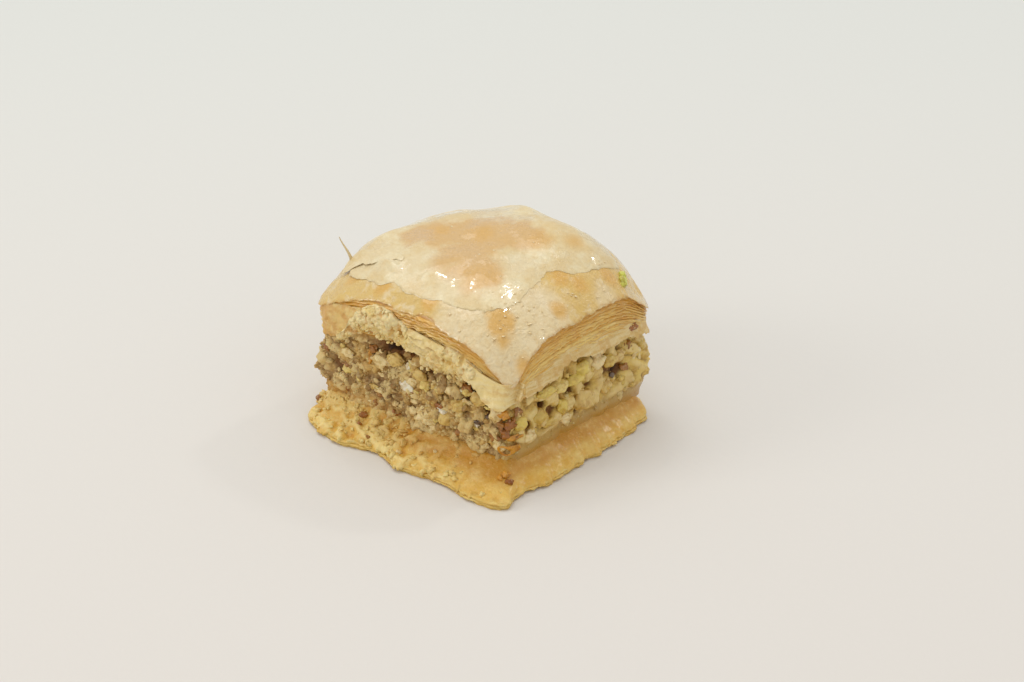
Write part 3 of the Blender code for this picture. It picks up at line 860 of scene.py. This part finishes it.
def wrinkles(x, y):
    """Fine creases of a dry leaf, sharp at their crests, and the same in all leaves on the lid."""
    broad = 1 - 2 * np.abs(grain(x, y, WRINKLE_SEED, 4.8))
    fine = 1 - 2 * np.abs(grain(x + 9, y, WRINKLE_SEED, 1.7))
    return 0.11 * broad + 0.03 * fine


def torn_top_leaf():
    """The topmost leaf: torn short at the front, curled up at its left and its back."""
    angle = turns(520)[None, :]
    out = np.linspace(0.03, 1.0, 38)[:, None] ** 0.8
    degrees = (np.degrees(angle) + 180) % 360 - 180
    x, y = plan(angle)
    tear = 0.012 * crumble(x, y, 60, 2.4, 3) + 0.006 * crumble(x, y, 80, 0.8, 3)
    share = (along_line(degrees, TORN_EDGE) + tear) * out
    x, y = plan(angle, 0, share)
    edge = ramp(out, 0.86, 1.0)
    flutter = 0.06 * grain(x, y, 31, 2.6) * edge
    fold = 0.7 * hill(y + 0.25 * x + 16.8, 0.9) * ramp(-x, 9, 13) * (1 - ramp(-x, 22, 25))
    z = lid_top(x, y) - 0.01 + leaf_lift(angle, share) + wrinkles(x, y) + flutter + fold
    leaf = disc(placed(x, y, z), TOP_THICK)
    make("torn_top_leaf", LID, [leaf], torn_leaf_finish("torn_top_leaf"), crisp=True)


def loose_sliver():
    """A whisker of the top leaf that stands up at the left."""
    along = np.linspace(0, 1, 16)[:, None]
    across = np.array([-0.5, 0.0, 0.5])[None, :]
    width = 0.7 * (1 - along) + 0.12
    x = -24.0 - 2.6 * along + 0.4 * np.sin(5 * along) + across * width * 0.5
    y = -12.2 - 0.6 * along + across * width
    z = 29.4 + 6.0 * along ** 0.9 + 0.1 * np.abs(across)
    upper = placed(x, y, z)
    leaf = slab(upper, upper + np.array([0.07, 0, -0.04]), False)
    make("loose_sliver", LID, [leaf], torn_leaf_finish("loose_sliver"))


def loose_flap():
    """A dry pale flap of the top leaf that stands off it at the left."""
    along = np.linspace(0, 1, 40)[:, None]
    across = np.linspace(0, 1, 14)[None, :]
    width = 3.4 * np.sin(math.pi * (0.12 + 0.85 * along)) ** 0.7
    tear = 0.5 * crumble(along * 13, across * 0, 3, 1.8, 3) * (1 - across)
    x = -23.6 + 12.6 * along - across * width * 0.35 + tear * 0.3
    y = -16.2 + 4.4 * along + across * width - tear
    lift = 0.14 * (1 - across) ** 1.5 * np.sin(math.pi * np.clip(along + 0.1, 0, 1))
    lift = lift + 0.12 * grain(x, y, 3, 2.0)
    z = lid_top(x, y) + 0.06 + wrinkles(x, y) + lift + leaf_lift(np.arctan2(y, x - SKEW * y), 0.93)
    leaf = sheet(x, y, z, FLAP_THICK, False)
    make("loose_flap", LID, [leaf], torn_leaf_finish("loose_flap"), crisp=True)


def rim_leaf():
    """The leaf under the topmost one, which reaches the rim all round and droops at the corners."""
    angle = turns(560)[None, :]
    out = np.linspace(0.4, 1.0, 34)[:, None]
    ragged = ragged_edge(angle, 91, 0.4, 0.14)
    gap = sum(at_spot(angle, spot) for spot in RIM_GAPS)
    x, y = plan(angle, (ragged + 0.15 - gap) * ramp(out, 0.9, 1.0), out, LEAF_CORNER_POWER)
    edge = ramp(out, 0.93, 1.0)
    curl = 0.3 * grain(x, y, 77, 3.4) * edge
    z = lid_top(x, y) + wrinkles(x, y) + curl - 0.1
    near_edge = np.broadcast_to(ramp(out, 0.975, 1.0), z.shape).ravel()
    make("rim_leaf", LID, [sheet(x, y, z, RIM_THICK)], rim_leaf_finish(), {"edge": [near_edge] * 2}, True)


# Broken lower leaves
CURTAIN_STEP = 0.2
CURTAIN_ROWS = 40
HANGING_ROWS = 18
HANGING_THICK = 0.22
FAN_LEAVES = 5
FAN_STEP = 0.75
FRONT_LINE_HALF = HALF_X - 1.5
SIDE_LINE_HALF = HALF_Y - 0.8
# Crumbly masses: their upper and lower edge, how far out, how fluffy, how golden, and crumbs set on them
MASSES = ((BACKING_TOP, BACKING_FOOT, 0.1, 0.4, 0.8, 0), (WALL_TOP, WALL_FOOT, 0.7, 0.35, 0.7, 0),
          (LEFT_MASS_TOP, LEFT_MASS_FOOT, 1.3, 1.0, 0.0, 130),
          (RIGHT_MASS_TOP, RIGHT_MASS_FOOT, 1.4, 1.0, 0.0, 90))


def curtain_grid(top_line, rows):
    """Places along a broken edge, and shares of the way down from it."""
    left, right = top_line[0][0], top_line[-1][0]
    along = np.linspace(left, right, int((right - left) / CURTAIN_STEP))[None, :]
    return along, np.linspace(0, 1, rows)[:, None]


def crumbly_mass(side, top_line, foot_line, out, fluff, seed):
    """A crumbly mass on a cut face, between two lines: its points and faces, and its relief."""
    along, down = curtain_grid(top_line, CURTAIN_ROWS)
    left, right = top_line[0][0], top_line[-1][0]
    tear = 0.35 * crumble(along, seed * 9.0, 0, 2.2, 3) + 0.3 * crumble(along, seed * 5.0, 3, 0.8, 3)
    high = along_line(along, top_line) + 0.5 * tear
    low = along_line(along, foot_line) + tear
    z = high + (low - high) * down
    ends = ramp(along, left, left + 1.6) * (1 - ramp(along, right - 1.6, right))
    bulk = np.sin(math.pi * np.clip(down, 0.02, 0.98)) ** 0.5 * (0.25 + 0.75 * ends)
    broad = crumble(along, z, seed * 11.0, 3.4, 3)
    soft = puffs(along, z, seed * 5.0, 3.2) - 0.5
    fine = crumble(along, z, seed * 3.0, 1.5, 4, 0.45)
    rise = out * bulk + fluff * (0.6 * broad + 0.4 * soft + 0.5 * fine) - 0.2
    upper = face_point(side, along, rise, z)
    lower = face_point(side, along, rise * 0 - 0.9, z)
    relief = (broad * 0.5 + soft * 0.9 + fine * 0.5).ravel() * fluff
    return slab(upper, lower, False), np.concatenate([relief, relief * 0 - 0.5])


def crumbled_leaves():
    """The broken lower leaves on the front: crumbly masses, a golden wall, and a backing behind them."""
    groups = []
    reliefs = []
    golds = []
    places = []
    draw = np.random.default_rng(17)
    for number, (top_line, foot_line, out, fluff, gold, count) in enumerate(MASSES):
        body, relief = crumbly_mass("front", top_line, foot_line, out, fluff, number + 1)
        groups.append(body)
        reliefs.append(relief)
        golds.append(np.full(len(relief), gold))
        along = draw.uniform(top_line[0][0] + 0.5, top_line[-1][0] - 0.5, count)
        high, low = along_line(along, top_line), along_line(along, foot_line)
        height = high + (low - high) * draw.uniform(0.03, 1.06, count)
        places.append(face_point("front", along, draw.uniform(0.2, 1.1, count), height))
    places = np.concatenate(places)
    crumbs = scatter(draw, 2, places, 0.2 + 0.6 * draw.uniform(0, 1, len(places)) ** 2, 0.3, 0.8)
    groups.append(crumbs)
    reliefs.append(np.full(len(crumbs[0]), 0.3))
    golds.append(np.zeros(len(crumbs[0])))
    make("crumbled_leaves", LID, groups, crumbled_finish(), {"relief": reliefs, "gold": golds})


def hanging_leaf(side, top_line, foot_line, out, flare, seed):
    """A single leaf that hangs on a cut face between two lines, with a torn lower edge that flares out."""
    along, down = curtain_grid(top_line, HANGING_ROWS)
    tear = 0.7 * crumble(along, seed * 9.0, 0, 2.6, 3) + 0.35 * crumble(along, seed * 5.0, 3, 0.9, 3)
    high = along_line(along, top_line)
    low = along_line(along, foot_line) + tear
    z = high + (low - high) * down
    wave = 0.3 * grain(along, z, seed * 7.0, 3.2) + 0.1 * grain(along, z, seed * 3.0, 1.1)
    rise = out + flare * down ** 2 + wave * (0.3 + down)
    behind = face_point(side, along, rise - HANGING_THICK, z)
    return slab(face_point(side, along, rise, z), behind, False)


def underside_line(side, above, hang, step=3.0):
    """A line along a cut face, over the lid's underside by a length, and torn by chance."""
    half = FRONT_LINE_HALF if side in ("front", "back") else SIDE_LINE_HALF
    start = 4.0 - half if side == "left" else -half
    line = []
    for place in np.arange(start, half + step / 2, step):
        x, y = face_point(side, place, 0, 0)[:2]
        torn = hang * noise.noise((place / 4, above, len(side)))
        line.append((place, float(lid_under(x, y)) + above + torn))
    return tuple(line)


def hanging_leaves():
    """Leaves that hang free: a flap at the front corner, a fan in the front, one on each other side."""
    flap = hanging_leaf("front", FLAP_TOP, FLAP_FOOT, 0.5, 1.4, 5)
    side_top = tuple((place, height + 3.4) for place, height in underside_line("right", 0.0, 0.0))
    groups = [flap, hanging_leaf("right", side_top, SIDE_LEAF_FOOT, -0.45, 1.1, 6)]
    for number in range(FAN_LEAVES):
        drop = FAN_STEP * number
        fan_top = ((-1.5, 26.6 - drop), (7.5, 25.4 - drop))
        fan_foot = ((-1.5, 25.6 - drop), (7.5, 24.3 - drop))
        groups.append(hanging_leaf("front", fan_top, fan_foot, 0.3 + 0.12 * number, 0.7, 10 + number))
    for side, seed in (("left", 7), ("back", 8)):
        top_line, foot_line = underside_line(side, 3.4, 0.4), underside_line(side, -0.4, 2.0)
        groups.append(hanging_leaf(side, top_line, foot_line, -0.4, 1.0, seed))
    make("hanging_leaves", LID, groups, hanging_leaf_finish(), crisp=True)


def syrup_beads():
    """Small drops of syrup on the lid, most of them near the front corner, that catch the light."""
    draw = np.random.default_rng(41)
    groups = []
    for x, y, spread, count in SYRUP_SPOTS:
        groups.append(np.array([(x, y)]) + draw.normal(0, spread, (count, 2)))
    x, y = np.concatenate(groups).T
    count = len(x)
    sizes = draw.uniform(0.08, 0.3, count)
    places = placed(x, y, lid_top(x, y) + wrinkles(x, y) - 0.02)
    points, faces = lump_form(2)
    stretch = placed(draw.uniform(0.6, 1.8, count), draw.uniform(0.6, 1.4, count), 0.3) * sizes[:, None]
    drops = roughened(draw, points, count, 0.35) * stretch[:, None, :] + places[:, None, :]
    body = (drops.reshape(-1, 3), copies(faces, count, len(points)))
    make("syrup_beads", LID, [body], syrup_finish())


def pistachio_crumb():
    """A green crumb of pistachio that fell on the lid near its right corner."""
    draw = np.random.default_rng(9)
    points, faces = scatter(draw, 3, np.array(GREEN_PLACES), GREEN_SIZES, 0.6, 0.4)
    tint = np.tile(paint(*GREEN), (len(points), 1))
    finish = bits_finish("pistachio_crumb", 0.35, 0.3)
    make("pistachio_crumb", LID, [(points, faces)], finish, {"tint": [tint]})


# Filling of chopped nuts
FILLING_FOOT = BASE_TOP - 1.2
FILLING_STEPS = 700
FILLING_ROWS = 72
# Curled bits: side, place along, height, half width, half height, thickness, how far out, and colour
CURLS = (("right", 16.4, 12.6, 1.1, 2.5, 0.36, -0.1, CREAM),
         ("front", 22.0, 7.2, 1.2, 1.1, 0.24, 0.1, ORANGE))


def filling_offset(angle, share_up):
    """How far the filling's side stands from the cut square."""
    x, y = plan(angle)
    lean = FILLING_FOOT_OUT + (FILLING_HEAD_OUT - FILLING_FOOT_OUT) * share_up
    bulge = at_spot(angle, FILLING_RIGHT_BULGE) + at_spot(angle, FILLING_LEFT_BULGE)
    bulge = bulge * np.sin(math.pi * np.clip(share_up, 0, 1)) ** 2
    return -FILLING_INSET + lean + bulge + 0.5 * grain(x, y, 14 * share_up, 3.4)


def filling_relief(x, y, z):
    """Lumps and hollows of the filling's side: crumbly at the front, smooth lumps on the cut side."""
    side = ramp(x, 19, 23)
    smooth_side = side * (1 - ramp(z, 6.0, 8.2))
    smooth_front = hill(x + 11, 6) * hill(z - 8.0, 2.6) * (y < 0)
    big = puffs(x, y, z, 4.2) - 0.45
    small = puffs(x + 30, y, z, 1.7) - 0.5
    rough = crumble(x, y, z, 1.5, 4, 0.45)
    crumbly = 1.1 * big + 0.4 * small + 0.7 * rough
    lumpy = 1.5 * (puffs(x, y + 7, z, 3.6) - 0.5) + 0.25 * small + 0.15 * rough
    relief = (crumbly * (1 - side) + lumpy * side) * (1 - 0.88 * np.maximum(smooth_side, smooth_front))
    for along, height, size in FRONT_HOLLOWS:
        relief = relief - 3.2 * hill(np.hypot(x - along, z - height), size * 1.15) * (y < -HALF_Y / 2)
    for along, height, size in SIDE_HOLLOWS:
        relief = relief - 2.4 * hill(np.hypot(y - along, z - height), size) * (x > HALF_X / 2)
    return relief


def filling_surface(angle, share_up):
    """Points of the filling's side, and the depth of its lumps and hollows."""
    x, y = plan(angle, -FILLING_INSET)
    high = lid_under(x, y) + 0.4
    z = FILLING_FOOT + (high - FILLING_FOOT) * share_up
    relief = filling_relief(x, y, z)
    x, y = plan(angle, filling_offset(angle, share_up) + relief * 0.85)
    return x, y, z, relief


def packed_filling():
    """The filling's core: ground nuts with lumps and dark hollows on its sides."""
    up = np.linspace(0, 1, FILLING_ROWS)[:, None]
    x, y, z, relief = filling_surface(turns(FILLING_STEPS)[None, :], up)
    body = capped(placed(x, y, z))
    make("ground_nuts", FILLING, [body], meal_finish("ground_nuts"), {"relief": [relief.ravel(), [0, 0]]})


def nut_places(draw, counts, out):
    """Places for bits on the filling's side, with a count for each span, standing out by a length."""
    angles = [draw.uniform(*span, count) for span, count in zip(SPANS, counts)]
    angle = np.radians(np.concatenate(angles))
    x, y, z, relief = filling_surface(angle, draw.uniform(0.1, 0.93, len(angle)))
    middle_x, middle_y = plan(angle, -8)
    inwards = np.stack([middle_x - x, middle_y - y, np.zeros_like(x)], -1)
    inwards /= np.linalg.norm(inwards, axis=1)[:, None]
    return (placed(x, y, z) - inwards * out)[relief > -1.0]


def crumb_kind(name, seed, level, counts, sizes, out, rough, shades):
    """Crumbs of ground nuts in the filling's own colours, lighter and darker, as one piece."""
    draw = np.random.default_rng(seed)
    places = nut_places(draw, counts, out)
    dims = sizes[0] + (sizes[1] - sizes[0]) * draw.uniform(0, 1, len(places)) ** 1.8
    lumps = scatter(draw, level, places, dims, 0.5, rough)
    shade = np.repeat(draw.uniform(*shades, len(places)), len(lumps[0]) // len(places))
    make(name, FILLING, [lumps], meal_finish(name), {"relief": [shade]})


def shown_nuts(name, seed, level, faces_and_nuts, sunk, rough, roughness, coat):
    """Nuts that show one by one on the cut faces, as one piece."""
    draw = np.random.default_rng(seed)
    points, faces = lump_form(level)
    lumps = []
    tints = []
    for side, nuts in faces_and_nuts:
        forms = roughened(draw, points, len(nuts), rough)
        for form, (along, height, wide, tall, colour) in zip(forms, nuts):
            tilt = draw.uniform(-0.4, 0.4)
            across = (form[:, 0] * math.cos(tilt) - form[:, 2] * math.sin(tilt)) * wide
            up = (form[:, 0] * math.sin(tilt) + form[:, 2] * math.cos(tilt)) * tall
            out = form[:, 1] * 0.8 * min(wide, tall) - sunk
            lumps.append(face_point(side, along + across, out, height + up))
            tints.append(np.tile(paint(*colour), (len(points), 1)))
    body = (np.concatenate(lumps), copies(faces, len(lumps), len(points)))
    make(name, FILLING, [body], bits_finish(name, roughness, coat), {"tint": tints})


def curl(side, along, height, wide, tall, thick, out):
    """A curled ring of nut skin or shaving on a cut face: its points and faces."""
    steps, sides = 40, 12
    turn = turns(steps)[:, None]
    around = turns(sides)[None, :]
    wobble = 1 + 0.12 * grain(np.cos(turn) + along, np.sin(turn), height, 0.7)
    radius = wobble + thick * np.cos(around) * (1 + 0.4 * np.sin(turn * 2 + 1))
    across = along + wide * radius * np.cos(turn)
    up = height + tall * radius * np.sin(turn)
    rise = out + 0.8 * wide * thick * np.sin(around) + 0.4 * np.sin(turn)
    points = face_point(side, across, rise, up).reshape(-1, 3)
    quads = grid_faces(steps, sides, True).tolist()
    quads += strip_faces(np.arange(sides) + (steps - 1) * sides, np.arange(sides), True).tolist()
    return points, quads


def curled_bits():
    """A pale curled shaving near the right corner, and a curled amber skin at the front corner."""
    groups = []
    tints = []
    for *form, colour in CURLS:
        points, quads = curl(*form)
        groups.append((points, quads))
        tints.append(np.tile(paint(*colour), (len(points), 1)))
    make("curled_bits", FILLING, groups, bits_finish("curled_bits", 0.35, 0.35), {"tint": tints})


def chopped_nuts():
    """The nuts that show: lumps and crumbs all round, nuts placed one by one, skins, and fine meal."""
    for kind in CRUMB_KINDS:
        crumb_kind(*kind)
    draw = np.random.default_rng(12)
    middle_x, middle_z, spread = CLUSTER
    cluster = []
    for _ in range(CLUSTER_NUTS):
        across, up = draw.normal(0, spread / 2, 2)
        wide, tall = draw.uniform(0.7, 1.5), draw.uniform(0.6, 1.2)
        cluster.append((middle_x + across, middle_z + up, wide, tall, CREAM))
    chips = []
    for _ in range(CHIPS):
        place = (draw.uniform(-23, 21), draw.uniform(6, 19))
        size = (draw.uniform(0.4, 1.3), draw.uniform(0.35, 0.9))
        chips.append((*place, *size, CHIP_KINDS[draw.integers(len(CHIP_KINDS))]))
    shown_nuts("walnut_pieces", 21, 4, (("front", FRONT_NUTS), ("front", cluster)), 0.5, 0.45, 0.5, 0.15)
    shown_nuts("walnut_chips", 24, 3, (("front", chips),), 0.55, 0.8, 0.5, 0.15)
    shown_nuts("pistachio_pieces", 22, 4, (("right", SIDE_NUTS),), 0.55, 0.35, 0.34, 0.4)
    shown_nuts("nut_skins", 23, 3, (("front", FRONT_SKINS), ("right", SIDE_SKINS)), 0.55, 0.95, 0.3, 0.5)
    curled_bits()


# Soaked base
BASE_TORN_SIDE = (-108, 46, 1.0)
LOOSE_CRUMBS = 200
TOP_SHEET_THICK = 0.7
TOP_SHEET_LOWEST = 0.55
# Thin sheets under the upper one: how far in, height and thickness
SHEETS = ((0.5, 1.05, 0.2), (0.1, 0.72, 0.2))
BOTTOM_INSET = 0.7
BOTTOM_THICK = 0.4


def soaked_surface(angle, share):
    """Points of the base's upper side from its torn edge to under the filling, and its relief."""
    outer_x, outer_y = base_plan(angle, 0.3)
    inner_x, inner_y = plan(angle, -FILLING_INSET - 1.5)
    fray = 1.0 * crumble(outer_x, outer_y, 5, 2.2, 3) + 0.45 * crumble(outer_x, outer_y, 5, 0.8, 3)
    share_in = share + (0.05 + fray * 0.1) * (1 - ramp(share, 0, 0.25))
    x = outer_x + (inner_x - outer_x) * share_in
    y = outer_y + (inner_y - outer_y) * share_in
    torn_side = at_spot(angle, BASE_TORN_SIDE)
    strands = (1 - np.abs(crumble(x, y, 3, 4.2, 2)) * 3.4) * 0.8
    torn = strands + 0.5 * crumble(x, y, 9, 2.2, 4, 0.6) + 0.1
    relief = torn * torn_side + crumble(x, y, 19, 3.5, 4) * (1 - torn_side)
    slope = np.clip(share / 0.84, 0, 1) ** 1.5
    height = BASE_EDGE + (BASE_TOP + 0.4 - BASE_EDGE) * slope
    fade = 1 - ramp(share, 0.5, 0.95)
    z = height + relief * (0.14 + 0.6 * torn_side) * fade - 0.45 * (1 - ramp(share, 0, 0.1))
    return x, y, np.maximum(z, 0.75), relief


def soaked_top():
    """The base's upper sheet: a ledge that slopes up to the filling, torn and lumpy at the front."""
    angle = turns(560)[None, :]
    x, y, z, relief = soaked_surface(angle, np.linspace(0, 1, 38)[:, None])
    relief = relief * (0.3 + 0.7 * at_spot(angle, BASE_TORN_SIDE))
    depth = np.broadcast_to(relief, z.shape).ravel()
    under = np.maximum(TOP_SHEET_LOWEST, z - TOP_SHEET_THICK)
    body = slab(placed(x, y, z), placed(x, y, under), True)
    make("soaked_top", BASE, [body], soaked_finish("soaked_top"), {"relief": [depth, depth]})


def base_crumbs():
    """Pale crumbs of leaf on the torn side of the base, and a few brown ones that fell on it."""
    draw = np.random.default_rng(31)
    angle = np.radians(draw.normal(-112, 30, LOOSE_CRUMBS))
    x, y, z = soaked_surface(angle, draw.uniform(0.03, 0.8, LOOSE_CRUMBS))[:3]
    places = placed(x, y, z + draw.uniform(-0.15, 0.2, LOOSE_CRUMBS))
    lumps = scatter(draw, 2, places, 0.25 + 0.8 * draw.uniform(0, 1, LOOSE_CRUMBS) ** 2, 0.25, 0.9)
    shade = np.repeat(draw.uniform(0.2, 1.0, LOOSE_CRUMBS), len(lumps[0]) // LOOSE_CRUMBS)
    make("base_crumbs", BASE, [lumps], soaked_finish("base_crumbs"), {"relief": [shade]})
    directions, shares, sizes, colours = zip(*BASE_BITS)
    x, y, z = soaked_surface(np.radians(directions), np.array(shares))[:3]
    bits = scatter(draw, 3, placed(x, y, z + 0.1), sizes, 0.6, 0.5)
    tint = np.repeat([paint(*colour) for colour in colours], len(bits[0]) // len(BASE_BITS), 0)
    make("base_bits", BASE, [bits], bits_finish("base_bits", 0.4, 0.3), {"tint": [tint]})


def ragged_ring(angle, inset, seed):
    """The torn outline of one of the base's lower sheets."""
    x, y = base_plan(angle, inset)
    ragged = 0.9 * crumble(x, y, 30 + 9 * seed, 2.4, 3) + 0.35 * crumble(x, y, 9 * seed, 0.8, 3)
    return base_plan(angle, inset + 0.4 + 0.6 * ragged)


def towards_centre(edge, share):
    """Places at a share of the way from the base's centre to its edge."""
    return [middle + (outer - middle) * share for middle, outer in zip(BASE_CENTRE, edge)]


def soaked_sheets():
    """The sheets under it, each torn a little differently, and the whole one that lies on the table."""
    angle = turns(440)
    groups = []
    reliefs = []
    for number, (inset, height, thick) in enumerate(SHEETS):
        x, y = towards_centre(ragged_ring(angle, inset, number), np.linspace(1.0, 0.82, 7)[:, None])
        groups.append(sheet(x, y, height + 0.16 * grain(x, y, number * 4.0, 2.5), thick))
        tone = 0.35 * crumble(x, y, number, 2.0, 3).ravel()
        reliefs += [tone, tone]
    share = np.array((0.1, 0.4, 0.7, 0.9, 0.97, 1.0))[:, None]
    x, y = towards_centre(ragged_ring(angle, BOTTOM_INSET, len(SHEETS)), share)
    bottom = disc(placed(x, y, BOTTOM_THICK), BOTTOM_THICK)
    groups.append(bottom)
    reliefs.append(0.35 * crumble(*bottom[0].T, 2.0, 3))
    make("soaked_sheets", BASE, groups, soaked_finish("soaked_sheets"), {"relief": reliefs})


# Table, light and camera
TABLE_SIZE = 6
LIT_HEIGHT = 0.015
GLINTS = ((-0.12, 0.24, 0.6), (0.35, 0.1, 0.65), (-0.3, 0.12, 0.6), (0.05, 0.08, 0.7))
SURROUNDINGS = (1.0, 0.99, 0.975, 1)
SURROUNDINGS_STRENGTH = 0.68


def stage():
    """A plain pale table."""
    bpy.ops.mesh.primitive_plane_add(size=TABLE_SIZE)
    table = bpy.context.object
    table.name = "table"
    table.data.materials.append(paper_finish())


def lamp(name, place, size, power, colour=(1, 1, 1)):
    """A soft square light that faces the piece."""
    light = bpy.data.lights.new(name, "AREA")
    light.energy = power
    light.size = size
    light.color = colour
    holder = bpy.data.objects.new(name, light)
    holder.location = place
    holder.rotation_euler = (Vector((0, 0, LIT_HEIGHT)) - Vector(place)).to_track_quat("-Z", "Y").to_euler()
    bpy.context.scene.collection.objects.link(holder)


def lights():
    """A wide soft light from above and the left, small bright ones for the syrup, and pale surroundings."""
    lamp("sky", (-0.35, 0.1, 0.9), 0.7, 2.4, (1, 0.985, 0.96))
    lamp("left", (-0.6, -0.7, 0.45), 0.35, 1.5, (1, 0.98, 0.95))
    lamp("glint_back", (0.12, 0.55, 0.5), 0.05, 0.35)
    for number, place in enumerate(GLINTS):
        lamp("glint_%d" % number, place, 0.016, 0.07)
    world = bpy.data.worlds.new("studio")
    world.use_nodes = True
    background = world.node_tree.nodes["Background"]
    background.inputs["Color"].default_value = SURROUNDINGS
    background.inputs["Strength"].default_value = SURROUNDINGS_STRENGTH
    bpy.context.scene.world = world


def camera():
    """The photograph's viewpoint: its sideways and downward aim becomes a small shift."""
    lens = bpy.data.cameras.new("camera")
    lens.sensor_width = 36.0
    lens.lens = lens.sensor_width * FOCAL_PIXELS / PICTURE_WIDTH
    lens.shift_x = -AIM_RIGHT_PIXELS / PICTURE_WIDTH
    lens.shift_y = AIM_DOWN_PIXELS / PICTURE_WIDTH
    lens.clip_start = 0.01
    level = math.cos(CAMERA_ELEVATION)
    back = Vector((math.sin(CAMERA_AZIMUTH) * level, -math.cos(CAMERA_AZIMUTH) * level,
                   math.sin(CAMERA_ELEVATION)))
    holder = bpy.data.objects.new("camera", lens)
    holder.location = (Vector((0, 0, AIM_HEIGHT)) + back * CAMERA_DISTANCE) * MM
    holder.rotation_euler = back.to_track_quat("Z", "Y").to_euler()
    bpy.context.scene.collection.objects.link(holder)
    bpy.context.scene.camera = holder


camera()
stage()
lights()
soaked_sheets()
soaked_top()
base_crumbs()
packed_filling()
chopped_nuts()
lid_heart()
leaf_stack()
crumbled_leaves()
hanging_leaves()
rim_leaf()
torn_top_leaf()
loose_sliver()
loose_flap()
syrup_beads()
pistachio_crumb()
bpy.context.scene.view_settings.view_transform = "Standard"
